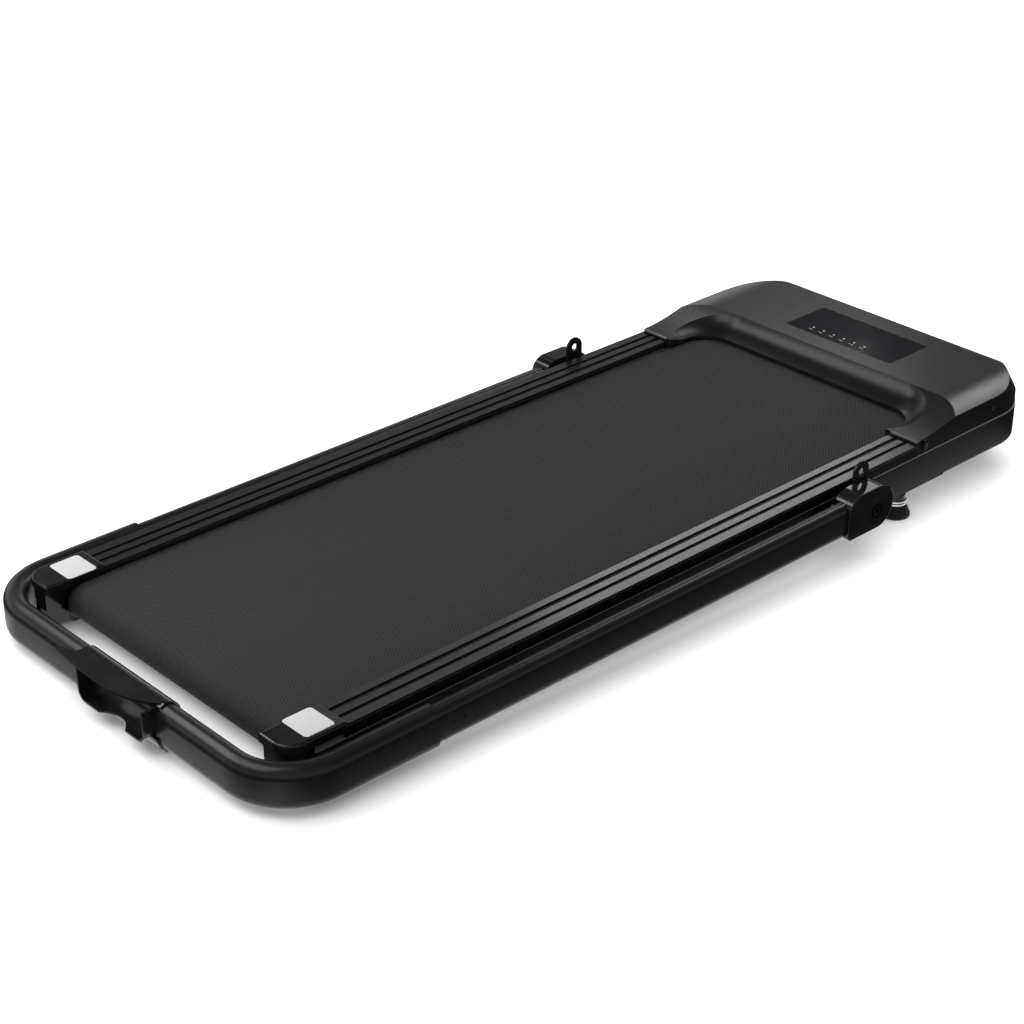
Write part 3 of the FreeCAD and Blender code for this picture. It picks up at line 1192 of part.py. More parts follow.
def rear_cap():
    """Moulded end cap: a lid over the rail, a body behind the beam, a cheek by the roller."""
    lid_low = CAP_TOP - CAP_LID_T
    plan = rounded_plan(CAP_IN, CAP_OUT, CAP_REAR, CAP_FRONT, lid_low, 0, 0)
    lid = plan.extrude(vec(0, 0, CAP_LID_T))
    lid = filleted(lid, CAP_CORNER_R, lambda e: e.BoundBox.ZLength > CAP_LID_T / 2
                   and e.BoundBox.XMin > CAP_OUT - 1e-4 and e.BoundBox.YMax < CAP_REAR + 1e-4)
    lid = filleted(lid, CAP_EDGE_R, at_height(CAP_TOP))
    rear_seat = BEAM_REAR - END_PLATE_T - CAP_SEAT_GAP
    body = box(BEAM_IN, CAP_OUT - CAP_STEP, CAP_REAR + CAP_STEP, rear_seat, BEAM_BOTTOM, lid_low)
    body = filleted(body, CAP_CORNER_R - CAP_STEP, lambda e: e.BoundBox.ZLength > CAP_LID_T
                    and e.BoundBox.XMin > CAP_OUT - CAP_STEP - 1e-4
                    and e.BoundBox.YMax < CAP_REAR + CAP_STEP + 1e-4)
    cheek_out = BEAM_IN - CAP_SEAT_GAP
    cheek = rod_x(CHEEK_R, CHEEK_X, cheek_out, REAR_AXIS_Y, AXIS_Z)
    bridge = box(CHEEK_X, cheek_out, REAR_AXIS_Y - CHEEK_R, REAR_AXIS_Y + CHEEK_R, AXIS_Z, lid_low)
    web = box(CHEEK_X, BEAM_IN + CAP_STEP, CAP_REAR + CAP_STEP, rear_seat, AXIS_Z, lid_low)
    cap = joined(lid, body, web, cheek, bridge)
    access = rod_y(TENSION_HEAD_R + 2, BEAM_MID_X, CAP_REAR, rear_seat, AXIS_Z)
    shaft_way = box(CHEEK_X, cheek_out, REAR_AXIS_Y - CHEEK_R, REAR_AXIS_Y,
                    AXIS_Z - REAR_SHAFT_R - 1, AXIS_Z + REAR_SHAFT_R + 1)
    shaft_end = rod_x(REAR_SHAFT_R + 1, CHEEK_X, cheek_out, REAR_AXIS_Y, AXIS_Z)
    rail_seat = box(RAIL_IN - CAP_SEAT_GAP, CAP_OUT, RAIL_REAR - CAP_SEAT_GAP, CAP_FRONT,
                    lid_low, CAP_SEAT_GAP)
    beam_room = box(BEAM_IN - CAP_SEAT_GAP, CAP_OUT, rear_seat, CAP_FRONT, BEAM_BOTTOM,
                    BEAM_TOP + CAP_SEAT_GAP)
    belt_room = box(0, BELT_W / 2 + 2, CAP_REAR - 1, CAP_FRONT + 1, BEAM_BOTTOM,
                    BELT_TOP + RAIL_LIP_GAP)
    cap = cap.cut(access).cut(shaft_way).cut(shaft_end).cut(rail_seat).cut(beam_room)
    return cap.cut(belt_room)


# Feet and wheels

def foot_base():
    """Where a front foot stands, in the floor's frame."""
    below = to_floor_frame().multVec(vec(FOOT_X, FOOT_Y, BEAM_BOTTOM))
    return vec(below.x, below.y, 0)


def turned_profile(points, at):
    """Solid turned about the upright through a place: points are radius and height."""
    outline = [vec(at.x + r, at.y, at.z + h) for r, h in points]
    return polygon(outline).revolve(at, vec(0, 0, 1), 360)


def foot_pad():
    bore = FOOT_STUD_R
    return turned_profile([(bore, 0), (FOOT_BASE_R - 1, 0), (FOOT_BASE_R, 1),
                           (FOOT_BASE_R, FOOT_RIM_H), (FOOT_WAIST_R, FOOT_PAD_H),
                           (bore, FOOT_PAD_H)], foot_base())


def foot_stud():
    """Threaded stud with a ribbed collar: two bright rings and a neck."""
    low = FOOT_PAD_H
    ring, neck = FOOT_RING_R, FOOT_NECK_R
    h = FOOT_RING_H
    top = low + FOOT_COLLAR_H
    points = [(0, 2), (FOOT_STUD_R, 2), (FOOT_STUD_R, low), (ring, low), (ring, low + h),
              (neck, low + h), (neck, low + 2 * h), (ring, low + 2 * h), (ring, low + 3 * h),
              (neck, low + 3 * h), (neck, top), (FOOT_STUD_R, top),
              (FOOT_STUD_R, top + FOOT_STUD_L), (0, top + FOOT_STUD_L)]
    return turned_profile(points, foot_base())


def foot_nut():
    """Nut inside the beam, on its lower wall, that the foot's stud turns in."""
    below = to_floor_frame().multVec(vec(FOOT_X, FOOT_Y, BEAM_BOTTOM + BEAM_WALL))
    low = below.z + FOOT_NUT_R * TILT + SPIN_GAP
    bore = FOOT_STUD_R + SPIN_GAP
    return turned_profile([(bore, low), (FOOT_NUT_R, low), (FOOT_NUT_R, low + FOOT_NUT_T),
                           (bore, low + FOOT_NUT_T)], foot_base())


def transport_wheel():
    half = WHEEL_W / 2
    wheel = rod_x(WHEEL_R, WHEEL_X - half, WHEEL_X + half, WHEEL_Y, WHEEL_Z)
    rim = [e for e in wheel.Edges if e.BoundBox.XLength < 1e-6]
    wheel = wheel.makeFillet(WHEEL_EDGE_R, rim)
    return wheel.cut(rod_x(AXLE_R + SPIN_GAP, WHEEL_X - half, WHEEL_X + half, WHEEL_Y, WHEEL_Z))


def wheel_axle():
    reach = WHEEL_W / 2 + FORK_GAP + FORK_T
    axle = rod_x(AXLE_R, WHEEL_X - reach, WHEEL_X + reach, WHEEL_Y, WHEEL_Z)
    head = rod_x(1.5 * AXLE_R, WHEEL_X + reach, WHEEL_X + reach + FORK_T, WHEEL_Y, WHEEL_Z)
    return joined(axle, head)


def wheel_bracket():
    """Fork of folded sheet under the tray, with an ear on each side of the wheel."""
    inner = WHEEL_W / 2 + FORK_GAP
    low = TRAY_BOTTOM - FORK_T
    fork = box(WHEEL_X - inner - FORK_T, WHEEL_X + inner + FORK_T, WHEEL_Y - FORK_REACH,
               WHEEL_Y + FORK_REACH, low, TRAY_BOTTOM)
    for x in (WHEEL_X - inner - FORK_T, WHEEL_X + inner):
        ear = polygon([vec(x, WHEEL_Y - FORK_REACH, low), vec(x, WHEEL_Y + FORK_REACH, low),
                       vec(x, WHEEL_Y + FORK_EAR_R, WHEEL_Z), vec(x, WHEEL_Y - FORK_EAR_R, WHEEL_Z)])
        eye = rod_x(FORK_EAR_R, x, x + FORK_T, WHEEL_Y, WHEEL_Z)
        ear = joined(ear.extrude(vec(FORK_T, 0, 0)), eye)
        fork = fork.fuse(ear.cut(rod_x(AXLE_R, x, x + FORK_T, WHEEL_Y, WHEEL_Z)))
    return fork.removeSplitter()


def write(name, shape, leaned=True):
    """Lean a finished part with the deck, unless it was drawn upright, and save it."""
    placed = shape.copy()
    if leaned:
        placed.Placement = to_floor_frame().multiply(placed.Placement)
    placed.exportStep(os.path.join("parts", name + ".step"))


def main():
    os.makedirs("parts", exist_ok=True)
    for side, name in SIDES:
        write("side_beam_" + name, on_side(side_beam(), side))
        write("side_rail_" + name, on_side(side_rail(), side))
        write("rear_cap_" + name, on_side(rear_cap(), side))
        write("hinge_bracket_" + name, on_side(hinge_bracket(), side))
        write("hinge_cover_" + name, on_side(hinge_cover(), side))
        write("handrail_leg_" + name, handrail_leg(side))
        write("foot_pad_" + name, on_side(foot_pad(), side), leaned=False)
        write("foot_stud_" + name, on_side(foot_stud(), side), leaned=False)
        write("transport_wheel_" + name, on_side(transport_wheel(), side))
    write("foot_nuts", pair(foot_nut()), leaned=False)
    for name, shape in (
        ("cross_members", cross_members()),
        ("motor_tray", motor_tray()),
        ("running_deck", running_deck()),
        ("deck_cushions", deck_cushions()),
        ("rear_pads", pair(rear_pad())),
        ("walking_belt", walking_belt()),
        ("rear_roller_drum", rear_roller_drum()),
        ("rear_roller_bearings", rear_roller_bearings()),
        ("rear_roller_shaft", rear_roller_shaft()),
        ("tension_bolts", pair(tension_bolt())),
        ("drive_roller_drum", drive_roller_drum()),
        ("drive_roller_shaft", drive_roller_shaft()),
        ("drive_bearings", drive_bearings()),
        ("drive_pulley", drive_pulley()),
        ("drive_belt", drive_belt()),
        ("motor_body", motor_body()),
        ("motor_saddle", motor_saddle()),
        ("motor_shaft", motor_shaft()),
        ("motor_pulley", motor_pulley()),
        ("motor_fan", motor_fan()),
        ("controller_board", controller_board()),
        ("heat_sink", heat_sink()),
        ("hood_cover", hood_cover()),
        ("bottom_pan", bottom_pan()),
        ("console_lens", console_lens()),
        ("display_board", display_board()),
        ("power_inlet", power_inlet()),
        ("inlet_pins", inlet_pins()),
        ("switch_housing", switch_housing()),
        ("power_rocker", power_rocker()),
        ("breaker_body", breaker_body()),
        ("reset_button", reset_button()),
        ("pivot_bolts", pair(pivot_bolt())),
        ("pivot_washers", pair(pivot_washer())),
        ("leg_bushes", pair(leg_bush())),
        ("handrail_u_tube", handrail_u_tube()),
        ("leg_joint_bolts", leg_joint_bolts()),
        ("tablet_holder", tablet_holder()),
        ("wheel_axles", pair(wheel_axle())),
        ("wheel_brackets", pair(wheel_bracket())),
    ):
        write(name, shape)


main()
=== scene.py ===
"""Dresses the folded walking pad: finishes, small fittings, studio light and camera."""

import json
import logging
import math
from dataclasses import dataclass, field
from enum import Enum
from typing import Any, Callable, Iterable, Sequence

import bpy
from mathutils import Matrix, Vector


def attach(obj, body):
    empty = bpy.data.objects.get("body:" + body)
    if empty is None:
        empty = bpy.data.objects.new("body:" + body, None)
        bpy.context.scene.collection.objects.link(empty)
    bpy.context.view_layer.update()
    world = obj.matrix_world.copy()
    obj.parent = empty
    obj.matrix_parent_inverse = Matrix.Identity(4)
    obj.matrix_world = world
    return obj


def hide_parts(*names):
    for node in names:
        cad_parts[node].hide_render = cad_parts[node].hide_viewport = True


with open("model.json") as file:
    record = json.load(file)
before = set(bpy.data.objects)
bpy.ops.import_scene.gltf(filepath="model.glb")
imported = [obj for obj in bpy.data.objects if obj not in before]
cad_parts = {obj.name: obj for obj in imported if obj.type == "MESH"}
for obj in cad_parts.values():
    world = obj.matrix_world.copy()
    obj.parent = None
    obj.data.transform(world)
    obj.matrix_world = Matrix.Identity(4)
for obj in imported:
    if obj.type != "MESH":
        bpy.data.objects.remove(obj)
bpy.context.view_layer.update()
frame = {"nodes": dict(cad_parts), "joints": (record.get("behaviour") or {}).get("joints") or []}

LOG = logging.getLogger("walking_pad")
MM = 0.001
PER_M = 1000.0
MERGE_MM = 0.001
NEAR_MM = 0.01
FACING = 0.9

Colour = tuple[float, float, float]
Number = float | int


class Element(Enum):
    """What an edit-mode selection picks."""

    VERT = "VERT"
    EDGE = "EDGE"
    FACE = "FACE"


class Side(Enum):
    """Which side of the deck a piece is on, as the sign of X."""

    RIGHT = 1
    LEFT = -1


@dataclass(frozen=True)
class DeckFrame:
    """The leaning frame that the pad is drawn in: X right, Y to the hood, Z up from the rails.

    The pivot's place in both frames gives the shift between them.
    """

    slope_deg: float = 1.72
    pivot_y: float = 577.0
    pivot_z: float = -34.6

    def matrix(self) -> Matrix:
        """Returns the matrix that takes deck millimetres to the world's metres."""
        joint = next(j for j in frame["joints"] if j["name"] == "handrail_fold")
        turn = Matrix.Rotation(math.radians(self.slope_deg), 4, "X")
        drawn = turn @ Vector((0.0, self.pivot_y, self.pivot_z)) * MM
        shift = Vector(joint["pos_m"]) - drawn
        shift.x = 0.0
        return Matrix.Translation(shift) @ turn @ Matrix.Scale(MM, 4)

    def point(self, x: float, y: float, z: float) -> Vector:
        """Returns a deck point, given in millimetres, in the world's metres."""
        return self.matrix() @ Vector((x, y, z))

    def depth_below_rails(self, recipe: "Recipe", where: "Sock") -> "Sock":
        """Returns how far, in metres, a shaded point of a resting piece lies under the rails."""
        origin = self.point(0.0, 0.0, 0.0)
        lean = math.radians(self.slope_deg)
        ahead = (recipe.axis(where, "Y") - origin.y) * math.sin(lean)
        return ahead - (recipe.axis(where, "Z") - origin.z) * math.cos(lean)


DECK = DeckFrame()


class Sock:
    """A value socket in a shader expression: operators add Math nodes."""

    def __init__(self, recipe: "Recipe", socket: bpy.types.NodeSocket) -> None:
        """Wraps one output socket of a recipe's tree."""
        self.recipe = recipe
        self.socket = socket

    def math(self, operation: str, *others: "Sock | Number") -> "Sock":
        """Adds a Math node.

        Args:
            operation: the Math node's operation.
            others: further operands, sockets or numbers.

        Returns:
            The node's value.
        """
        inputs = {0: self} | {i + 1: o for i, o in enumerate(others)}
        return self.recipe.node("ShaderNodeMath", {"operation": operation}, inputs)

    def _reflected(self, operation: str, other: Number) -> "Sock":
        """Adds a Math node with a plain number as its first operand."""
        inputs = {0: other, 1: self}
        return self.recipe.node("ShaderNodeMath", {"operation": operation}, inputs)

    def __add__(self, other: "Sock | Number") -> "Sock":
        """Returns self + other."""
        return self.math("ADD", other)

    def __radd__(self, other: Number) -> "Sock":
        """Returns other + self."""
        return self._reflected("ADD", other)

    def __sub__(self, other: "Sock | Number") -> "Sock":
        """Returns self - other."""
        return self.math("SUBTRACT", other)

    def __rsub__(self, other: Number) -> "Sock":
        """Returns other - self."""
        return self._reflected("SUBTRACT", other)

    def __mul__(self, other: "Sock | Number") -> "Sock":
        """Returns self * other."""
        return self.math("MULTIPLY", other)

    def __rmul__(self, other: Number) -> "Sock":
        """Returns other * self."""
        return self._reflected("MULTIPLY", other)

    def sine(self) -> "Sock":
        """Returns the sine."""
        return self.math("SINE")

    def size(self) -> "Sock":
        """Returns the absolute value."""
        return self.math("ABSOLUTE")

    def between(self, low: Number, high: Number) -> "Sock":
        """Returns a smooth step from 0 at low to 1 at high."""
        settings = {"interpolation_type": "SMOOTHSTEP"}
        inputs = {"Value": self, "From Min": low, "From Max": high}
        return self.recipe.node("ShaderNodeMapRange", settings, inputs)


class Recipe:
    """One material's or world's node tree, built by expressions."""

    def __init__(self, tree: bpy.types.NodeTree) -> None:
        """Empties a node tree and takes it over."""
        self.tree = tree
        tree.nodes.clear()

    def node(
        self,
        kind: str,
        settings: dict[str, Any] | None = None,
        inputs: dict[str | int, Any] | None = None,
        output: str | int = 0,
    ) -> Sock:
        """Adds any node.

        Args:
            kind: the node's type.
            settings: properties, set before the sockets.
            inputs: values or links of its sockets, by name or number.
            output: which output is returned.

        Returns:
            The wrapped output socket, which is empty for a node with none.
        """
        made = self.tree.nodes.new(kind)
        for name, value in (settings or {}).items():
            setattr(made, name, value)
        for name, value in (inputs or {}).items():
            if isinstance(value, Sock):
                self.tree.links.new(value.socket, made.inputs[name])
            else:
                made.inputs[name].default_value = value
        return Sock(self, made.outputs[output] if made.outputs else None)

    def place(self, scale: Sequence[float] = (1.0, 1.0, 1.0)) -> Sock:
        """Returns the Object coordinates, stretched by a scale per axis."""
        where = self.node("ShaderNodeTexCoord", output="Object")
        return self.node("ShaderNodeMapping", None, {"Vector": where, "Scale": scale})

    def axis(self, vector: Sock, letter: str) -> Sock:
        """Returns one component of a vector."""
        return self.node("ShaderNodeSeparateXYZ", None, {"Vector": vector}, output=letter)

    def noise(self, vector: Sock, size_mm: float, detail: float = 2.0) -> Sock:
        """Returns noise whose spots are about size_mm across."""
        inputs = {"Vector": vector, "Scale": PER_M / size_mm, "Detail": detail}
        return self.node("ShaderNodeTexNoise", None, inputs)

    def blend(self, share: Sock, first: Colour, second: Colour) -> Sock:
        """Returns the colour between first and second at a share."""
        inputs = {"Factor": share, 6: (*first, 1.0), 7: (*second, 1.0)}
        return self.node("ShaderNodeMix", {"data_type": "RGBA"}, inputs, output=2)

    def bump(self, height: Sock, depth_mm: float) -> Sock:
        """Returns a normal for a height of 0 to 1 that stands depth_mm high."""
        inputs = {"Height": height, "Distance": depth_mm * MM, "Strength": 1.0}
        return self.node("ShaderNodeBump", None, inputs)


@dataclass(frozen=True)
class Finish:
    """A plain moulded or coated finish with fine grain and faint dust.

    Attributes:
        name: the material's name.
        colour: base colour.
        rough: mean roughness.
        uneven: how far roughness wanders from the mean.
        grain_mm: size of the surface grain.
        grain_depth_mm: height of the grain.
        stretch: scale per axis of the grain, for drawn or brushed surfaces.
        specular: specular level, constant over the surface.
        metallic: metallic share.
        coat: clear coat weight.
        dust: how much the colour lightens in dusty spots.
        dust_mm: size of the dusty spots.
        dust_range: noise values between which a spot goes from bare to dusty.
        wander_share: size of the roughness spots as a share of the dusty ones.
        coat_rough: roughness of the clear coat.
    """

    name: str
    colour: Colour
    rough: float
    uneven: float = 0.06
    grain_mm: float = 0.6
    grain_depth_mm: float = 0.02
    stretch: tuple[float, float, float] = (1.0, 1.0, 1.0)
    specular: float = 0.5
    metallic: float = 0.0
    coat: float = 0.0
    dust: float = 0.01
    dust_mm: float = 60.0
    dust_range: tuple[float, float] = (0.45, 0.75)
    wander_share: float = 0.4
    coat_rough: float = 0.06

    def material(self) -> bpy.types.Material:
        """Returns the material, made once per name; the frame's own plain ones keep their names."""
        title = f"{self.name}_finish"
        known = bpy.data.materials.get(title)
        if known:
            return known
        made = bpy.data.materials.new(title)
        made.use_nodes = True
        recipe = Recipe(made.node_tree)
        shader = self.shader(recipe)
        recipe.node("ShaderNodeOutputMaterial", None, {"Surface": shader})
        return made

    def dust_and_highlight_colour(self, recipe: Recipe, where: Sock) -> Sock:
        """Returns the base colour with soft lighter patches."""
        share = recipe.noise(where, self.dust_mm, detail=4.0).between(*self.dust_range)
        lighter = tuple(c + self.dust for c in self.colour)
        return recipe.blend(share, self.colour, lighter)

    def height(self, recipe: Recipe) -> Sock:
        """Returns the grain's height, 0 to 1."""
        return recipe.noise(recipe.place(self.stretch), self.grain_mm, detail=3.0)

    def roughness(self, recipe: Recipe, where: Sock) -> Sock:
        """Returns roughness that wanders about its mean."""
        wander = recipe.noise(where, self.dust_mm * self.wander_share, detail=3.0)
        return (wander - 0.5) * (2.0 * self.uneven) + self.rough

    def metal(self, recipe: Recipe, where: Sock) -> Sock | float:
        """Returns the metallic share."""
        return self.metallic

    def shader(self, recipe: Recipe) -> Sock:
        """Returns the surface shader."""
        where = recipe.place()
        inputs = {
            "Base Color": self.dust_and_highlight_colour(recipe, where),
            "Roughness": self.roughness(recipe, where),
            "Normal": recipe.bump(self.height(recipe), self.grain_depth_mm),
            "Specular IOR Level": self.specular,
            "Metallic": self.metal(recipe, where),
            "Coat Weight": self.coat,
            "Coat Roughness": self.coat_rough,
        }
        return recipe.node("ShaderNodeBsdfPrincipled", None, inputs)


@dataclass(frozen=True)
class ScratchedGloss(Finish):
    """Polished plastic with hairline handling marks.

    Attributes:
        along_mm: width of the marks that run along Y.
        across_mm: width of the marks that run along X.
        drawn: scale along a mark, which draws the noise out into a line.
        along_range: noise values between which a mark along Y begins.
        across_range: the same for a mark along X.
        mark_share: height of the marks against the grain's.
    """

    along_mm: float = 0.9
    across_mm: float = 1.17
    drawn: float = 0.06
    along_range: tuple[float, float] = (0.62, 0.66)
    across_range: tuple[float, float] = (0.63, 0.67)
    mark_share: float = 0.4

    def height(self, recipe: Recipe) -> Sock:
        """Returns hairlines over an almost flat surface."""
        along = recipe.noise(recipe.place((1.0, self.drawn, 1.0)), self.along_mm, detail=1.0)
        across = recipe.noise(recipe.place((self.drawn, 1.0, 1.0)), self.across_mm, detail=1.0)
        lines = along.between(*self.along_range) + across.between(*self.across_range)
        return lines * self.mark_share + recipe.noise(recipe.place(), self.grain_mm)


@dataclass(frozen=True)
class RailPlastic(Finish):
    """Rail moulding: polished strips, and grooves whose floors are left rough.

    Attributes:
        floor_mm: depth below the strips at which a groove counts as floor.
        floor_rough: roughness there.
        skirt_mm: depths between which the floor ends and the polished outer skirt begins.
    """

    floor_mm: float = 1.2
    floor_rough: float = 0.6
    skirt_mm: tuple[float, float] = (4.0, 4.5)

    def roughness(self, recipe: Recipe, where: Sock) -> Sock:
        """Returns polished strips and rough groove floors."""
        polished = super().roughness(recipe, where)
        depth = DECK.depth_below_rails(recipe, where) * PER_M
        skirt = depth.between(*self.skirt_mm)
        floor = depth.between(self.floor_mm, 2.0 * self.floor_mm) - skirt
        return polished + floor * (self.floor_rough - self.rough)


@dataclass(frozen=True)
class RimHighlightPlastic(Finish):
    """Lower shell finish with a painted highlight: a light band painted along its rounded top edge,
    where the edge would catch the light.

    Attributes:
        rim_mm: depths below the rails between which the painted highlight lies.
        soft_mm: how softly the painted highlight begins and ends.
        rim: the painted highlight's colour.
    """

    rim_mm: tuple[float, float] = (17.3, 18.5)
    soft_mm: tuple[float, float] = (0.2, 0.4)
    rim: Colour = (0.4, 0.4, 0.4)

    def dust_and_highlight_colour(self, recipe: Recipe, where: Sock) -> Sock:
        """Returns the plain colour with the painted highlight along the top edge."""
        depth = DECK.depth_below_rails(recipe, where) * PER_M
        low, high = self.rim_mm
        first, last = self.soft_mm
        # Painted highlight: a light grey band along the top edge stands in for the light it
        # catches.
        share = depth.between(low - first, low) - depth.between(high, high + last)
        return recipe.blend(share, self.colour, self.rim)


@dataclass(frozen=True)
class FootCollar(Finish):
    """Black collar of a levelling foot with two bright rings.

    Attributes:
        rings_mm: heights between which the bright rings lie.
        soft_mm: how softly a ring begins and ends.
        bright: the rings' colour.
    """

    rings_mm: tuple[tuple[float, float], ...] = ((19.0, 21.0), (23.0, 25.0))
    soft_mm: float = 0.2
    bright: Colour = (0.75, 0.75, 0.76)

    def ringed(self, recipe: Recipe, where: Sock) -> Sock:
        """Returns 1 on the rings and 0 elsewhere."""
        height = recipe.axis(where, "Z") * PER_M
        share: Sock | float = 0.0
        for low, high in self.rings_mm:
            begun = height.between(low - self.soft_mm, low)
            ended = height.between(high, high + self.soft_mm)
            share = begun - ended + share
        return share

    def dust_and_highlight_colour(self, recipe: Recipe, where: Sock) -> Sock:
        """Returns black with bright rings."""
        return recipe.blend(self.ringed(recipe, where), self.colour, self.bright)

    def metal(self, recipe: Recipe, where: Sock) -> Sock:
        """Returns metal on the rings only."""
        return self.ringed(recipe, where)


@dataclass(frozen=True)
class TurnedSteel(Finish):
    """Bright steel with the fine rings of a lathe about X.

    Attributes:
        ring_mm: distance from ring to ring.
        ring_share: height of the rings against the streaks'.
        streak_mm: width of the streaks that break the rings up.
        drawn: scale across X, which draws the streaks out.
    """

    ring_mm: float = 0.9
    ring_share: float = 0.5
    streak_mm: float = 0.5
    drawn: float = 0.05

    def height(self, recipe: Recipe) -> Sock:
        """Returns turning rings, broken up by noise."""
        across = recipe.axis(recipe.place(), "X")
        rings = (across * (math.tau * PER_M / self.ring_mm)).sine() * 0.5 + 0.5
        streaks = recipe.noise(recipe.place((1.0, self.drawn, self.drawn)), self.streak_mm)
        return rings * self.ring_share + streaks


@dataclass(frozen=True)
class BeltWeave(Finish):
    """The walking belt's fine diamond ribs, laid along its own run.

    Attributes:
        across_mm: width of one diamond.
        along_mm: length of one diamond.
        rib_mm: height of the ribs.
        drift_mm: size of the spots in which the ribs wander.
        drift: how far they wander, in diamonds.
        thread_mm: size of the thread's grain.
        thread_rough: how far the thread's grain moves the roughness.
        worn_mm: size of the worn patches.
        worn_stretch: scale per axis of the worn patches.
        worn_range: noise values between which a patch goes from new to worn.
        heights: shares of ribs and thread in the height.
        tones: shares of ribs, thread and wear in the tone.
        shades: the darkest and lightest tone, as shares of the colour.
    """

    across_mm: float = 4.8
    along_mm: float = 6.0
    rib_mm: float = 0.4
    drift_mm: float = 7.0
    drift: float = 0.5
    thread_mm: float = 0.7
    thread_rough: float = 0.2
    worn_mm: float = 180.0
    worn_stretch: tuple[float, float, float] = (1.0, 0.25, 1.0)
    worn_range: tuple[float, float] = (0.35, 0.75)
    heights: tuple[float, float] = (0.8, 0.35)
    tones: tuple[float, float, float] = (0.9, 0.25, 0.1)
    shades: tuple[float, float] = (0.05, 2.4)

    def shader(self, recipe: Recipe) -> Sock:
        """Returns the woven surface; its map holds metres across and along the run."""
        run = recipe.node("ShaderNodeUVMap", {"uv_map": "run"})
        across = recipe.axis(run, "X") * (PER_M / self.across_mm)
        along = recipe.axis(run, "Y") * (PER_M / self.along_mm)
        drift = recipe.noise(recipe.place(), self.drift_mm) * self.drift
        rising = ((across + along + drift) * math.tau).sine()
        falling = ((across - along + drift) * math.tau).sine()
        weave = rising.math("MAXIMUM", falling) * 0.5 + 0.5
        thread = recipe.noise(recipe.place(), self.thread_mm, detail=3.0)
        patches = recipe.noise(recipe.place(self.worn_stretch), self.worn_mm, detail=3.0)
        worn = patches.between(*self.worn_range)
        height = weave * self.heights[0] + thread * self.heights[1]
        tone = weave * self.tones[0] + thread * self.tones[1] + worn * self.tones[2]
        dark, light = (tuple(c * share for c in self.colour) for share in self.shades)
        inputs = {
            "Base Color": recipe.blend(tone, dark, light),
            "Roughness": self.rough + (thread - 0.5) * self.thread_rough,
            "Normal": recipe.bump(height, self.rib_mm),
            "Specular IOR Level": self.specular,
        }
        return recipe.node("ShaderNodeBsdfPrincipled", None, inputs)


@dataclass(frozen=True)
class PressedBoard(Finish):
    """Fibreboard: brown chips pressed flat.

    Attributes:
        chip_mm: size of a chip.
        chip_stretch: scale per axis of the chips.
        darkest: the darkest chip's share of the colour.
    """

    chip_mm: float = 4.0
    chip_stretch: tuple[float, float, float] = (1.0, 0.4, 2.0)
    darkest: float = 0.6

    def dust_and_highlight_colour(self, recipe: Recipe, where: Sock) -> Sock:
        """Returns the chips' mottled colour."""
        inputs = {"Vector": recipe.place(self.chip_stretch), "Scale": PER_M / self.chip_mm}
        chips = recipe.node("ShaderNodeTexVoronoi", {"feature": "F1"}, inputs, output="Color")
        tone = recipe.axis(chips, "X")
        darker = tuple(c * self.darkest for c in self.colour)
        return recipe.blend(tone, darker, self.colour)


@dataclass(frozen=True)
class CircuitBoard(Finish):
    """Solder mask with paler tracks.

    Attributes:
        cell_mm: size of the cells that the tracks run round.
        track_share: width of a track as a share of a cell.
        paler: how much a track multiplies the mask's colour, and what it adds to it.
    """

    cell_mm: float = 14.4
    track_share: float = 0.04
    paler: tuple[float, float] = (2.2, 0.02)

    def dust_and_highlight_colour(self, recipe: Recipe, where: Sock) -> Sock:
        """Returns the mask with its tracks."""
        inputs = {"Vector": where, "Scale": PER_M / self.cell_mm, "Mortar Size": self.track_share}
        tracks = recipe.node("ShaderNodeTexBrick", None, inputs, output="Fac")
        times, plus = self.paler
        track = tuple(c * times + plus for c in self.colour)
        return recipe.blend(tracks, self.colour, track)


DRAWN_Y = (1.0, 0.03, 1.0)
BRUSHED_Y = (1.0, 0.04, 1.0)

POWDER = Finish(
    "powder_steel", (0.012, 0.0125, 0.0128), 0.3,
    uneven=0.04, grain_mm=1.6, grain_depth_mm=0.004, specular=0.4, dust=0.003,
)
BLACK_BOLT = Finish(
    "black_bolt", (0.008, 0.008, 0.0085), 0.25,
    uneven=0.05, grain_mm=0.5, grain_depth_mm=0.001, metallic=0.3,
)
SATIN = Finish(
    "satin_abs", (0.012, 0.0122, 0.012), 0.26,
    uneven=0.03, grain_mm=0.7, grain_depth_mm=0.001, specular=0.32, dust=0.003,
)
# The pan, beams, cross members, tray and brackets get a painted highlight band along their top
# edge.
PAN = RimHighlightPlastic(
    "pan_abs", (0.013, 0.0132, 0.013), 0.35,
    uneven=0.04, grain_mm=0.7, grain_depth_mm=0.0015, specular=0.25,
)
RAIL = RailPlastic(
    "rail_plastic", (0.008, 0.0083, 0.0083), 0.2,
    uneven=0.03, grain_mm=0.8, grain_depth_mm=0.0006, stretch=DRAWN_Y, specular=0.65, dust=0.002,
)
GLOSS = ScratchedGloss(
    "gloss_abs", (0.009, 0.0093, 0.0093), 0.12,
    uneven=0.02, grain_mm=6.0, grain_depth_mm=0.0002,
)
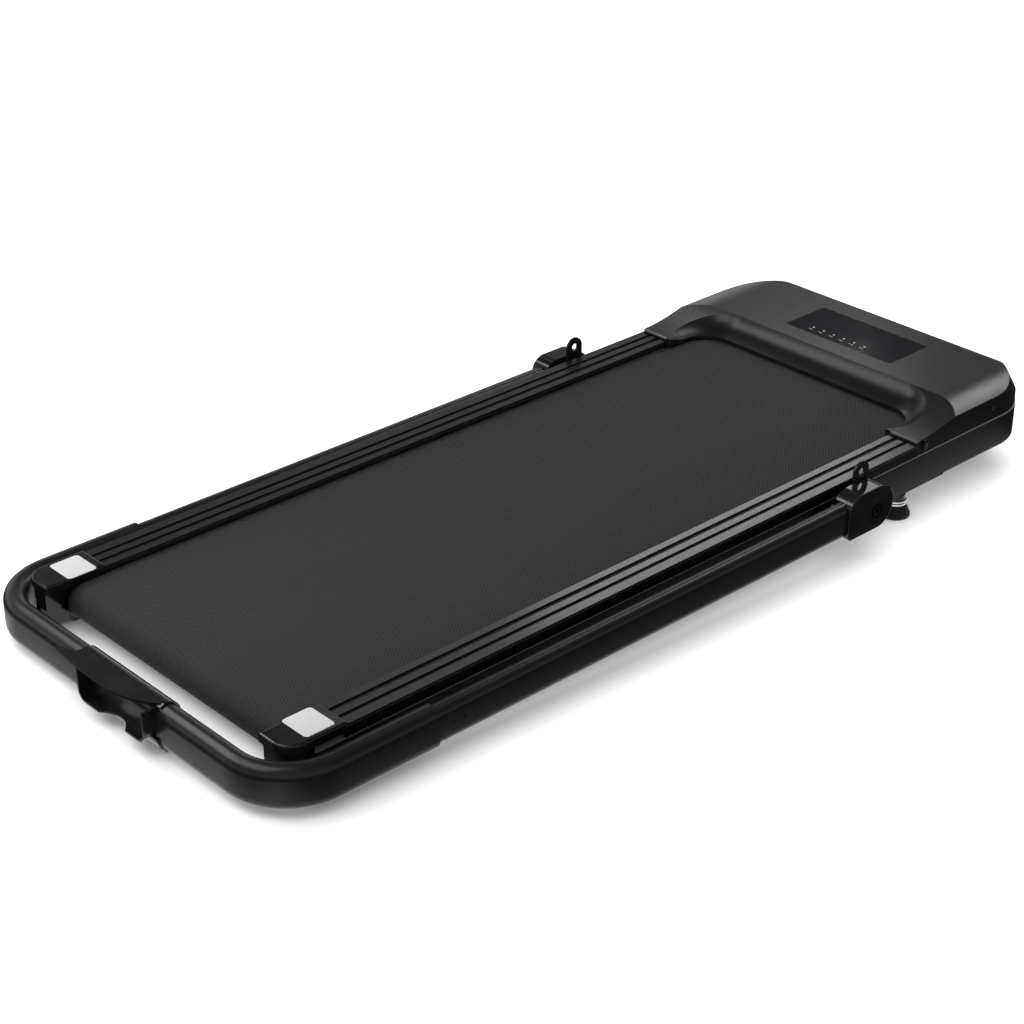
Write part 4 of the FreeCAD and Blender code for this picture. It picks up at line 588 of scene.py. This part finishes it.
# Painted highlight: the lip is the hood's black plastic, coloured light grey so its rounded edge
# reads as catching the light.
LIP_HIGHLIGHT = Finish(
    "lip_highlight_abs", (0.14, 0.14, 0.14), 0.3,
    uneven=0.03, grain_mm=0.7, grain_depth_mm=0.0004, dust=0.003,
)
CONSOLE = ScratchedGloss(
    "console_gloss", (0.005, 0.0065, 0.009), 0.1,
    uneven=0.02, grain_mm=6.0, grain_depth_mm=0.0006, specular=0.18,
)
SCREW = Finish(
    "screw", (0.09, 0.09, 0.092), 0.28,
    uneven=0.05, grain_mm=0.5, grain_depth_mm=0.001, metallic=0.9,
)
STEEL = TurnedSteel(
    "zinc_steel", (0.55, 0.55, 0.56), 0.3,
    uneven=0.07, grain_depth_mm=0.01, metallic=1.0,
)
COLLAR = FootCollar(
    "foot_chrome", (0.012, 0.012, 0.0125), 0.14,
    uneven=0.05, grain_mm=2.0, grain_depth_mm=0.003,
)
RUBBER = Finish(
    "soft_rubber", (0.012, 0.012, 0.012), 0.62,
    uneven=0.08, grain_mm=1.2, grain_depth_mm=0.06, specular=0.3,
)
ALUMINIUM = Finish("bare_aluminium", (0.62, 0.62, 0.64), 0.35, stretch=BRUSHED_Y, metallic=1.0)
BRASS = Finish("pin_brass", (0.7, 0.6, 0.36), 0.25, grain_depth_mm=0.01, metallic=1.0)
ROCKER = ScratchedGloss(
    "rocker_plastic", (0.012, 0.012, 0.012), 0.2,
    uneven=0.05, grain_mm=2.0, grain_depth_mm=0.006,
)
BUTTON = ScratchedGloss(
    "button_plastic", (0.45, 0.02, 0.015), 0.25,
    uneven=0.05, grain_mm=2.0, grain_depth_mm=0.006,
)
BELT = BeltWeave("belt_weave", (0.0265, 0.0265, 0.0261), 0.75, specular=0.12)
BOARD = PressedBoard(
    "deck_board", (0.34, 0.24, 0.15), 0.7,
    uneven=0.08, grain_mm=1.5, grain_depth_mm=0.05,
)
CIRCUIT = CircuitBoard("circuit", (0.012, 0.09, 0.04), 0.35, uneven=0.05, grain_mm=0.8)
PLATE = Finish(
    "blank_plate", (0.93, 0.93, 0.925), 0.38,
    uneven=0.05, grain_mm=0.5, grain_depth_mm=0.01, dust=-0.03, dust_mm=25.0,
)
MARK = Finish(
    "console_mark", (0.72, 0.74, 0.76), 0.5,
    uneven=0.05, grain_mm=0.4, grain_depth_mm=0.005, dust=-0.05, dust_mm=8.0,
)


class Bench:
    """One mesh on the bench: a primitive, the edit tools used on it, and its finishing."""

    def __init__(self, name: str, add: Callable[..., Any], **sizes: Any) -> None:
        """Adds a primitive.

        Args:
            name: the piece's name.
            add: the primitive's operator.
            sizes: the operator's settings, in millimetres of the deck frame.
        """
        bpy.ops.object.select_all(action="DESELECT")
        add(**sizes)
        self.obj = bpy.context.active_object
        self.obj.name = name
        self.obj.data.name = name
        bpy.ops.object.transform_apply(location=True, rotation=True, scale=True)

    def pick(self, kind: Element, test: Callable[..., bool]) -> None:
        """Selects elements in edit mode.

        Args:
            kind: vertices, edges or faces.
            test: takes a vertex's place, an edge's middle and way, or a face's middle and normal.
        """
        bpy.ops.object.mode_set(mode="EDIT")
        bpy.ops.mesh.select_mode(type=kind.value)
        bpy.ops.mesh.select_all(action="DESELECT")
        bpy.ops.object.mode_set(mode="OBJECT")
        mesh = self.obj.data
        if kind is Element.FACE:
            for face in mesh.polygons:
                face.select = test(face.center, face.normal)
        elif kind is Element.EDGE:
            for edge in mesh.edges:
                one, two = (mesh.vertices[v].co for v in edge.vertices)
                edge.select = test((one + two) / 2, (two - one))
        else:
            for vertex in mesh.vertices:
                vertex.select = test(vertex.co)
        bpy.ops.object.mode_set(mode="EDIT")

    def pick_all(self) -> None:
        """Selects the whole mesh in edit mode."""
        bpy.ops.object.mode_set(mode="EDIT")
        bpy.ops.mesh.select_all(action="SELECT")

    def extrude(self, way: Sequence[float]) -> None:
        """Extrudes the selected region."""
        bpy.ops.mesh.extrude_region_move(TRANSFORM_OT_translate={"value": way})

    def modify(self, kind: str, **settings: Any) -> None:
        """Adds a modifier and applies it."""
        bpy.ops.object.mode_set(mode="OBJECT")
        made = self.obj.modifiers.new(kind.lower(), kind)
        for name, value in settings.items():
            setattr(made, name, value)
        bpy.ops.object.modifier_apply(modifier=made.name)

    def tidy(self) -> None:
        """Merges doubles and points every face outwards."""
        self.pick_all()
        bpy.ops.mesh.remove_doubles(threshold=MERGE_MM)
        bpy.ops.mesh.normals_make_consistent(inside=False)
        bpy.ops.object.mode_set(mode="OBJECT")

    def seat(self, turn: Matrix | None = None) -> None:
        """Puts the finished mesh in its place in the world, with its object at the origin.

        Args:
            turn: a deck-frame matrix applied before the deck's own.
        """
        bpy.ops.object.mode_set(mode="OBJECT")
        self.obj.data.transform(DECK.matrix() @ (turn or Matrix.Identity(4)))
        self.obj.data.update()

    def smooth(self, degrees: float = 35.0) -> None:
        """Shades the mesh smooth below an angle."""
        bpy.ops.object.mode_set(mode="OBJECT")
        bpy.ops.object.select_all(action="DESELECT")
        self.obj.select_set(True)
        bpy.context.view_layer.objects.active = self.obj
        bpy.ops.object.shade_smooth_by_angle(angle=math.radians(degrees))


def dress(piece: bpy.types.Object, finish: Finish, body: str) -> None:
    """Gives a new piece its finish and body, and reports it.

    Args:
        piece: the new mesh object.
        finish: its finish.
        body: the body it rides on.
    """
    piece.data.materials.clear()
    piece.data.materials.append(finish.material())
    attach(piece, body)
    LOG.info("piece %s on %s, %d faces", piece.name, body, len(piece.data.polygons))


def dress_nodes(finish: Finish, nodes: Iterable[str]) -> None:
    """Gives CAD nodes a finish.

    Args:
        finish: the finish.
        nodes: names of the nodes.
    """
    for name in nodes:
        target = frame["nodes"][name]
        target.data.materials.clear()
        target.data.materials.append(finish.material())
        LOG.info("node %s takes %s", name, finish.name)


def both(stem: str) -> list[str]:
    """Returns the right and left names of a paired node."""
    return [f"{stem}_right", f"{stem}_left"]


@dataclass
class ScrewHead:
    """A small domed screw with a round recess, drawn on Z and then turned to its seat.

    Attributes:
        radius: the head's radius.
        height: the head's height.
        steps: insets of dome, crown and recess, as shares of the radius, with their rises, as
            shares of the height.
        edge_share: rounding of the head's edge as a share of the height.
        corners: how many corners its circle has.
    """

    radius: float
    height: float
    steps: tuple[tuple[float, float], ...] = ((0.3, 0.3), (0.25, 0.1), (0.12, -0.5))
    edge_share: float = 0.25
    corners: int = 24

    def build(self, name: str, seat: Vector, out: Vector) -> bpy.types.Object:
        """Models one screw head.

        Args:
            name: the piece's name.
            seat: deck point of the middle of its seat.
            out: deck direction it faces.

        Returns:
            The placed piece.
        """
        sizes = {"vertices": self.corners, "radius": self.radius, "depth": self.height}
        bench = Bench(name, bpy.ops.mesh.primitive_cylinder_add, **sizes)
        half = self.height / 2
        bench.pick(Element.FACE, lambda middle, normal: normal.z > FACING)
        for inward, rise in self.steps:
            bpy.ops.mesh.inset(thickness=self.radius * inward, depth=self.height * rise)
        bench.pick(Element.EDGE, lambda middle, way: abs(middle.z - half) < NEAR_MM)
        bpy.ops.mesh.bevel(offset=self.height * self.edge_share, segments=3)
        bench.tidy()
        turn = Vector((0, 0, 1)).rotation_difference(out.normalized()).to_matrix().to_4x4()
        bench.seat(Matrix.Translation(seat) @ turn)
        bench.smooth(degrees=40.0)
        return bench.obj


@dataclass
class WalkingBelt:
    """The belt that stands for the plain loop: its run, woven face and cut edges."""

    width: float = 436.0
    outer: float = 24.4
    thick: float = 1.6
    rear_y: float = -328.0
    drive_y: float = 830.0
    axis_z: float = -34.4
    edge_r: float = 0.5
    turn_steps: int = 96
    run_steps: int = 40

    def along(self, y: float, z: float) -> float:
        """Returns how far along the loop a point is, in millimetres from the rear top."""
        flat = self.drive_y - self.rear_y
        if y > self.drive_y:
            angle = math.atan2(y - self.drive_y, z - self.axis_z)
            return flat + angle * self.outer
        if y < self.rear_y:
            angle = math.atan2(self.rear_y - y, self.axis_z - z)
            return 2 * flat + (math.pi + angle) * self.outer
        if z > self.axis_z:
            return y - self.rear_y
        return 2 * flat + math.pi * self.outer - (y - self.rear_y)

    def lay_map(self, mesh: bpy.types.Mesh) -> None:
        """Writes metres across and along the run into the mesh's own map."""
        layer = mesh.uv_layers.new(name="run")
        whole = 2 * (self.drive_y - self.rear_y) + 2 * math.pi * self.outer
        for face in mesh.polygons:
            middle = self.along(face.center.y, face.center.z)
            for corner in face.loop_indices:
                spot = mesh.vertices[mesh.loops[corner].vertex_index].co
                run = self.along(spot.y, spot.z)
                if run - middle > whole / 2:
                    run -= whole
                if middle - run > whole / 2:
                    run += whole
                layer.data[corner].uv = (spot.x * MM, run * MM)

    def build(self) -> None:
        """Models the loop and lets it stand for the plain node."""
        bench = Bench(
            "belt_band",
            bpy.ops.mesh.primitive_circle_add,
            vertices=self.turn_steps,
            radius=self.outer,
            fill_type="NOTHING",
            location=(-self.width / 2, self.rear_y, self.axis_z),
            rotation=(0.0, math.pi / 2, 0.0),
        )
        bench.pick(Element.VERT, lambda spot: spot.y > self.rear_y + MERGE_MM)
        reach = self.drive_y - self.rear_y
        bpy.ops.transform.translate(value=(0.0, reach, 0.0))
        bench.pick(Element.EDGE, lambda middle, way: way.length > reach / 2)
        bpy.ops.mesh.subdivide(number_cuts=self.run_steps)
        bench.pick_all()
        across = {"value": (self.width, 0.0, 0.0)}
        bpy.ops.mesh.extrude_edges_move(TRANSFORM_OT_translate=across)
        bench.tidy()
        bench.modify("SOLIDIFY", thickness=self.thick, offset=-1.0, use_even_offset=True)
        bench.modify("BEVEL", width=self.edge_r, segments=2, limit_method="ANGLE")
        self.lay_map(bench.obj.data)
        bench.seat()
        bench.smooth(degrees=50.0)
        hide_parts("walking_belt")
        dress(bench.obj, BELT, "frame")


@dataclass
class BlankPlate:
    """A bare white plate with round corners on a rear cap's lid."""

    x: float = 235.5
    y: float = -329.5
    lid_z: float = 3.0
    width: float = 46.0
    length: float = 42.0
    corner: float = 5.0
    thick: float = 0.35
    crown_share: float = 0.4

    def build(self, name: str, side: Side) -> None:
        """Models one plate.

        Args:
            name: the piece's name.
            side: which cap it lies on.
        """
        middle = (side.value * self.x, self.y, self.lid_z)
        bench = Bench(name, bpy.ops.mesh.primitive_plane_add, size=1.0, location=middle)
        bench.pick_all()
        bpy.ops.transform.resize(value=(self.width, self.length, 1.0), center_override=middle)
        bpy.ops.mesh.bevel(offset=self.corner, segments=8, affect="VERTICES")
        bench.pick_all()
        bench.extrude((0.0, 0.0, self.thick))
        bpy.ops.mesh.inset(thickness=self.thick, depth=self.thick * self.crown_share)
        bench.tidy()
        bench.seat()
        bench.smooth(degrees=30.0)
        dress(bench.obj, PLATE, "frame")


@dataclass
class Console:
    """The console panel's plain marks: six small rings and six dashes."""

    first_x: float = -61.0
    pitch: float = 19.5
    count: int = 6
    ring_y: float = 873.0
    dash_y: float = 865.5
    top_z: float = 25.0
    ring_r: float = 1.7
    ring_wall: float = 0.5
    ring_steps: int = 20
    dash: tuple[float, float] = (8.0, 0.9)
    dash_corner: float = 0.36
    thick: float = 0.12

    def ring(self, number: int) -> None:
        """Models one ring mark."""
        middle = (self.first_x + number * self.pitch, self.ring_y, self.top_z)
        bench = Bench(
            f"console_dot_{number + 1}",
            bpy.ops.mesh.primitive_circle_add,
            vertices=self.ring_steps,
            radius=self.ring_r,
            fill_type="NGON",
            location=middle,
        )
        bench.pick_all()
        bench.extrude((0.0, 0.0, self.thick))
        bpy.ops.mesh.inset(thickness=self.ring_wall, depth=0.0)
        bench.tidy()
        bench.seat()
        dress(bench.obj, MARK, "frame")

    def bar(self, number: int) -> None:
        """Models one dash mark."""
        middle = (self.first_x + number * self.pitch, self.dash_y, self.top_z)
        name = f"console_dash_{number + 1}"
        bench = Bench(name, bpy.ops.mesh.primitive_plane_add, size=1.0, location=middle)
        bench.pick_all()
        bpy.ops.transform.resize(value=(*self.dash, 1.0), center_override=middle)
        bpy.ops.mesh.bevel(offset=self.dash_corner, segments=3, affect="VERTICES")
        bench.pick_all()
        bench.extrude((0.0, 0.0, self.thick))
        bench.tidy()
        bench.seat()
        dress(bench.obj, MARK, "frame")

    def build(self) -> None:
        """Models every mark and dresses the panel."""
        for number in range(self.count):
            self.ring(number)
            self.bar(number)
        dress_nodes(CONSOLE, ["console_lens"])


@dataclass
class Hood:
    """The motor hood, the pan under it and the power panel."""

    screw: ScrewHead = field(default_factory=lambda: ScrewHead(2.8, 1.0))
    side_x: float = 263.0
    screw_spot: tuple[float, float] = (887.0, 0.0)
    clip_spot: tuple[float, float] = (731.0, -4.0)
    clip_size: tuple[float, float, float] = (2.4, 9.0, 15.0)
    clip_edge_r: float = 0.96
    lip_spot: tuple[float, float] = (715.6, 3.0)
    lip_span: tuple[float, float] = (215.6, 262.6)
    lip_r: float = 2.0
    lip_end_r: float = 1.0
    lip_end_deg: float = 68.75
    lip_steps: int = 20

    def fix(self, name: str, side: Side, seat_x: float, spot: tuple[float, float]) -> None:
        """Sets one screw in the side.

        Args:
            name: the screw's name.
            side: which side it is on.
            seat_x: how far out its seat is.
            spot: its Y and Z.
        """
        seat = Vector((side.value * seat_x, *spot))
        out = Vector((side.value, 0.0, 0.0))
        made = self.screw.build(f"{name}_{side.name.lower()}", seat, out)
        dress(made, SCREW, "frame")

    def clip(self, side: Side) -> None:
        """Models the clip block that holds an arm's end down on the beam."""
        middle = (side.value * (self.side_x + self.clip_size[0] / 2), *self.clip_spot)
        name = f"arm_clip_{side.name.lower()}"
        bench = Bench(name, bpy.ops.mesh.primitive_cube_add, size=1.0, location=middle)
        bench.pick_all()
        bpy.ops.transform.resize(value=self.clip_size, center_override=middle)
        bench.modify("BEVEL", width=self.clip_edge_r, segments=4, limit_method="ANGLE")
        bench.tidy()
        bench.seat()
        bench.smooth()
        dress(bench.obj, SATIN, "frame")

    def lip(self, side: Side) -> None:
        """Models the round lip along the end of one arm, coloured light grey as a painted
        highlight.
        """
        first, last = self.lip_span
        bench = Bench(
            f"arm_lip_{side.name.lower()}",
            bpy.ops.mesh.primitive_cylinder_add,
            vertices=self.lip_steps,
            radius=self.lip_r,
            depth=last - first,
            location=(side.value * (first + last) / 2, *self.lip_spot),
            rotation=(0.0, math.pi / 2, 0.0),
        )
        ends = {"limit_method": "ANGLE", "angle_limit": math.radians(self.lip_end_deg)}
        bench.modify("BEVEL", width=self.lip_end_r, segments=3, **ends)
        bench.tidy()
        bench.seat()
        bench.smooth(degrees=50.0)
        dress(bench.obj, LIP_HIGHLIGHT, "frame")

    def build(self) -> None:
        """Dresses the hood and adds its screws, clips and lips."""
        for side in Side:
            self.fix("hood_screw", side, self.side_x, self.screw_spot)
            self.clip(side)
            self.fix("clip_screw", side, self.side_x + self.clip_size[0], self.clip_spot)
            self.lip(side)
        dress_nodes(SATIN, ["hood_cover", "breaker_body", "switch_housing", "power_inlet"])
        dress_nodes(PAN, ["bottom_pan"])
        dress_nodes(ROCKER, ["power_rocker"])
        dress_nodes(BUTTON, ["reset_button"])
        dress_nodes(BRASS, ["inlet_pins"])
        Console().build()


@dataclass
class Handrail:
    """The folded handrail with its hinges and tablet holder."""

    screw: ScrewHead = field(default_factory=lambda: ScrewHead(3.2, 1.2))
    screw_seat: tuple[float, float, float] = (285.6, 508.0, -10.8)
    screw_way: tuple[float, float, float] = (-0.434, 0.0, 0.901)

    def build(self) -> None:
        """Dresses the handrail and sets the small screw at each leg's head."""
        for side in Side:
            flip = Vector((side.value, 1.0, 1.0))
            seat = Vector(self.screw_seat) * flip
            out = Vector(self.screw_way) * flip
            made = self.screw.build(f"leg_screw_{side.name.lower()}", seat, out)
            dress(made, SCREW, "handrail")
        tubes = [*both("handrail_leg"), "handrail_u_tube", *both("hinge_bracket")]
        dress_nodes(POWDER, tubes)
        dress_nodes(GLOSS, [*both("hinge_cover"), "tablet_holder"])
        dress_nodes(BLACK_BOLT, ["pivot_bolts", "leg_joint_bolts"])
        dress_nodes(STEEL, ["leg_bushes"])
        dress_nodes(SATIN, ["pivot_washers"])


@dataclass
class Deck:
    """The deck: beams, rails, caps, belt, board and feet."""

    guard_r: tuple[float, float] = (25.5, 32.5)
    guard_x: tuple[float, float] = (214.8, 220.6)
    guard_edge_r: float = 0.8
    guard_steps: int = 48
    axis: tuple[float, float] = (-328.0, -34.4)
    tray_bolt: ScrewHead = field(default_factory=lambda: ScrewHead(5.0, 3.5))
    bolt_seat: tuple[float, float, float] = (257.0, 716.0, -67.5)

    def guard(self, side: Side) -> None:
        """Models the arched guard on a rear cap's inner wall, round the roller's end."""
        low, high = self.guard_r
        near, far = self.guard_x
        middle = (side.value * (near + far) / 2, self.axis[0], self.axis[1] + (low + high) / 2)
        name = f"roller_guard_{side.name.lower()}"
        turn = (math.pi / 2, 0.0, 0.0)
        add = bpy.ops.mesh.primitive_plane_add
        bench = Bench(name, add, size=1.0, location=middle, rotation=turn)
        bench.pick_all()
        bpy.ops.transform.resize(value=(far - near, 1.0, high - low), center_override=middle)
        hub = {"center": (0.0, *self.axis), "axis": (1.0, 0.0, 0.0)}
        bpy.ops.mesh.spin(steps=self.guard_steps, angle=math.pi, **hub)
        bench.tidy()
        bench.modify("BEVEL", width=self.guard_edge_r, segments=3, limit_method="ANGLE")
        bench.seat()
        bench.smooth()
        dress(bench.obj, GLOSS, "frame")

    def build(self) -> None:
        """Dresses the deck and models the belt, the plates and the small fittings."""
        beams = [*both("side_beam"), "cross_members", "motor_tray", "wheel_brackets"]
        dress_nodes(PAN, beams)
        dress_nodes(RAIL, both("side_rail"))
        dress_nodes(GLOSS, both("rear_cap"))
        dress_nodes(BOARD, ["running_deck"])
        dress_nodes(RUBBER, ["deck_cushions", "rear_pads", *both("foot_pad"), "walking_belt"])
        dress_nodes(COLLAR, both("foot_stud"))
        dress_nodes(STEEL, ["foot_nuts", "wheel_axles"])
        dress_nodes(SATIN, both("transport_wheel"))
        WalkingBelt().build()
        for side in Side:
            BlankPlate().build(f"blank_plate_{side.name.lower()}", side)
            self.guard(side)
            seat = Vector(self.bolt_seat) * Vector((side.value, 1.0, 1.0))
            down = Vector((0.0, 0.0, -1.0))
            made = self.tray_bolt.build(f"tray_bolt_{side.name.lower()}", seat, down)
            dress(made, SCREW, "frame")


@dataclass
class Drive:
    """The rollers, motor and boards under the hood."""

    def build(self) -> None:
        """Dresses the running gear."""
        rollers = ["rear_roller_drum", "rear_roller_bearings", "rear_roller_shaft"]
        rollers += ["tension_bolts", "drive_roller_drum", "drive_roller_shaft"]
        dress_nodes(STEEL, [*rollers, "drive_bearings", "motor_shaft"])
        dress_nodes(POWDER, ["motor_body", "motor_saddle"])
        dress_nodes(SATIN, ["motor_fan", "drive_pulley", "motor_pulley"])
        dress_nodes(RUBBER, ["drive_belt"])
        dress_nodes(CIRCUIT, ["controller_board", "display_board"])
        dress_nodes(ALUMINIUM, ["heat_sink"])


@dataclass(frozen=True)
class Lamp:
    """One soft rectangular lamp that faces the pad.

    Attributes:
        name: the lamp's name.
        place: where it hangs, in metres.
        along: the way its width runs.
        size: its width and height, in metres.
        watts: its power.
        aim_z: height of the point on the Z axis that it faces, in metres.
    """

    name: str
    place: tuple[float, float, float]
    along: tuple[float, float, float]
    size: tuple[float, float]
    watts: float
    aim_z: float = 0.06

    def hang(self) -> None:
        """Adds the lamp to the scene."""
        data = bpy.data.lights.new(self.name, "AREA")
        data.shape = "RECTANGLE"
        data.size, data.size_y = self.size
        data.energy = self.watts
        made = bpy.data.objects.new(self.name, data)
        bpy.context.scene.collection.objects.link(made)
        wide = Vector(self.along).normalized()
        away = Vector(self.place) - Vector((0.0, 0.0, self.aim_z))
        back = (away - wide * away.dot(wide)).normalized()
        axes = Matrix((wide, back.cross(wide), back)).transposed()
        made.matrix_world = Matrix.Translation(self.place) @ axes.to_4x4()


LAMPS = (
    Lamp("key", (-0.25, -1.3, 1.6), along=(1.0, 0.0, 0.0), size=(1.2, 1.2), watts=12.0),
    Lamp("left_rear", (-1.47, -1.25, 1.65), along=(0.0, 1.0, 0.0), size=(1.7, 0.7), watts=16.0),
    Lamp("rail_strip", (-1.2, 1.68, 1.3), along=(0.03, 1.18, 0.0), size=(1.2, 0.3), watts=3.2),
    Lamp("shoulder", (-0.37, 2.15, 1.43), along=(0.31, 0.0, 0.15), size=(0.5, 0.4), watts=3.6),
    Lamp("leg_top", (0.0, 1.45, 1.6), along=(0.0, 1.0, 0.0), size=(1.2, 0.45), watts=6.0),
    Lamp("rail_tail", (-1.21, 0.76, 1.3), along=(0.0, 1.0, 0.0), size=(0.6, 0.3), watts=0.3),
)


@dataclass
class Studio:
    """White sweep, soft lamps and the camera.

    Attributes:
        eye: the camera's place, in deck millimetres.
        azimuth_deg: how far the camera is turned to the left of Y.
        pitch_deg: how far it looks down.
        lens_mm: its focal length.
        sensor_mm: width of its sensor.
        floor_span: width of the floor, in metres.
        floor_colour: the floor's colour.
        floor_lift: how much the camera sees the floor lifted towards white.
        shade_reach: how near a thing has to be to the floor to shade that lift, in metres.
        lit_half: half the size of the floor's middle that gloss mirrors, in metres.
        lit_edge: how softly that middle ends, in metres.
        lit_level: what gloss mirrors beyond it and on it.
        ambient: the sky's soft light.
        zenith: share of the horizon's light that gloss mirrors overhead.
        band: heights between which the mirrored sky goes from horizon to overhead.
        sky_level: what gloss mirrors at the horizon, and what the left side adds.
        left_band: how far to the left a way points where that begins and is full.
        viewer_way: X and Y of the way to the viewer's side.
        viewer_band: how far to that side a way points where its fill begins and is full.
        viewer_fill: what that side adds overhead.
    """

    eye: tuple[float, float, float] = (1923.9, -1583.3, 1400.7)
    azimuth_deg: float = 47.23
    pitch_deg: float = 28.44
    lens_mm: float = 79.34
    sensor_mm: float = 36.0
    floor_span: float = 40.0
    floor_colour: Colour = (0.85, 0.85, 0.85)
    floor_lift: float = 0.84
    shade_reach: float = 0.065
    lit_half: tuple[float, float] = (0.31, 0.73)
    lit_edge: tuple[float, float] = (-0.03, 0.06)
    lit_level: tuple[float, float] = (0.03, 1.0)
    ambient: float = 0.24
    zenith: float = 0.14
    band: tuple[float, float] = (0.1, 0.56)
    sky_level: tuple[float, float] = (0.48, 0.48)
    left_band: tuple[float, float] = (0.58, 0.72)
    viewer_way: tuple[float, float] = (0.73, -0.68)
    viewer_band: tuple[float, float] = (0.1, 0.9)
    viewer_fill: float = 0.32

    def camera(self) -> None:
        """Places the camera as the picture was taken."""
        data = bpy.data.cameras.new("camera")
        data.lens = self.lens_mm
        data.sensor_width = self.sensor_mm
        made = bpy.data.objects.new("camera", data)
        bpy.context.scene.collection.objects.link(made)
        turn = math.radians(self.azimuth_deg)
        dip = math.radians(self.pitch_deg)
        level = Vector((-math.sin(turn), math.cos(turn), 0.0))
        ahead = level * math.cos(dip) - Vector((0.0, 0.0, math.sin(dip)))
        right = Vector((math.cos(turn), math.sin(turn), 0.0))
        up = right.cross(ahead)
        axes = Matrix((right, up, -ahead)).transposed()
        turned = Matrix.Rotation(math.radians(DECK.slope_deg), 3, "X") @ axes
        made.matrix_world = Matrix.Translation(DECK.point(*self.eye)) @ turned.to_4x4()
        bpy.context.scene.camera = made

    @staticmethod
    def rays(recipe: Recipe, *kinds: str) -> Sock:
        """Returns 1 for rays of the named kinds, else 0."""
        found = [recipe.node("ShaderNodeLightPath", output=f"Is {kind} Ray") for kind in kinds]
        share = found[0]
        for other in found[1:]:
            share = share.math("MAXIMUM", other)
        return share

    def floor(self) -> None:
        """Lays the pale floor, which keeps the pad's shadow; gloss mirrors only its lit middle."""
        bpy.ops.object.select_all(action="DESELECT")
        bpy.ops.mesh.primitive_plane_add(size=self.floor_span)
        made = bpy.context.active_object
        made.name = "floor"
        material = bpy.data.materials.new("floor")
        material.use_nodes = True
        recipe = Recipe(material.node_tree)
        colour = (*self.floor_colour, 1.0)
        matt = recipe.node("ShaderNodeBsdfDiffuse", None, {"Color": colour})
        reach = {"Distance": self.shade_reach}
        open_floor = recipe.node("ShaderNodeAmbientOcclusion", None, reach, output="AO")
        lift = self.rays(recipe, "Camera") * open_floor * self.floor_lift
        glow = recipe.node("ShaderNodeEmission", None, {"Strength": lift})
        shown = recipe.node("ShaderNodeAddShader", None, {0: matt, 1: glow})
        where = recipe.place()
        beyond = [recipe.axis(where, a).size() - h for a, h in zip("XY", self.lit_half)]
        share = beyond[0].math("MAXIMUM", beyond[1]).between(*self.lit_edge)
        far, near = self.lit_level
        patch = recipe.node("ShaderNodeEmission", None, {"Strength": near - share * (near - far)})
        bounced = self.rays(recipe, "Glossy", "Transmission")
        whole = recipe.node("ShaderNodeMixShader", None, {0: bounced, 1: shown, 2: patch})
        recipe.node("ShaderNodeOutputMaterial", None, {"Surface": whole})
        made.data.materials.append(material)

    def world(self) -> None:
        """Sets a white backdrop, which gloss mirrors only near the horizon, and a soft ambient."""
        made = bpy.data.worlds.new("sweep")
        bpy.context.scene.world = made
        made.use_nodes = True
        recipe = Recipe(made.node_tree)
        way = recipe.place()
        rise = recipe.axis(way, "Z").between(*self.band)
        leftward = (0.0 - recipe.axis(way, "X")).between(*self.left_band)
        level, left_more = self.sky_level
        mirrored = (1.0 - rise * (1.0 - self.zenith)) * (level + leftward * left_more)
        aside = [recipe.axis(way, a) * share for a, share in zip("XY", self.viewer_way)]
        viewer = (aside[0] + aside[1]).between(*self.viewer_band)
        seen = mirrored + viewer * rise * self.viewer_fill
        direct = self.rays(recipe, "Camera") * (1.0 - self.ambient)
        bounced = self.rays(recipe, "Glossy", "Transmission") * (seen - self.ambient)
        strength = direct + bounced + self.ambient
        inputs = {"Color": (1.0, 1.0, 1.0, 1.0), "Strength": strength}
        sky = recipe.node("ShaderNodeBackground", None, inputs)
        recipe.node("ShaderNodeOutputWorld", None, {"Surface": sky})
        # The sky is smooth, so no light samples are spent on it.
        made.cycles.sampling_method = "NONE"

    def build(self) -> None:
        """Sets up camera, floor, world and lamps."""
        bpy.context.scene.view_settings.view_transform = "Standard"
        self.camera()
        self.floor()
        self.world()
        for lamp in LAMPS:
            lamp.hang()


def main() -> None:
    """Builds the sub-assemblies in order."""
    logging.basicConfig(level=logging.INFO)
    for assembly in (Studio(), Deck(), Handrail(), Hood(), Drive()):
        LOG.info("building %s", type(assembly).__name__)
        assembly.build()


if __name__ == "__main__":
    main()
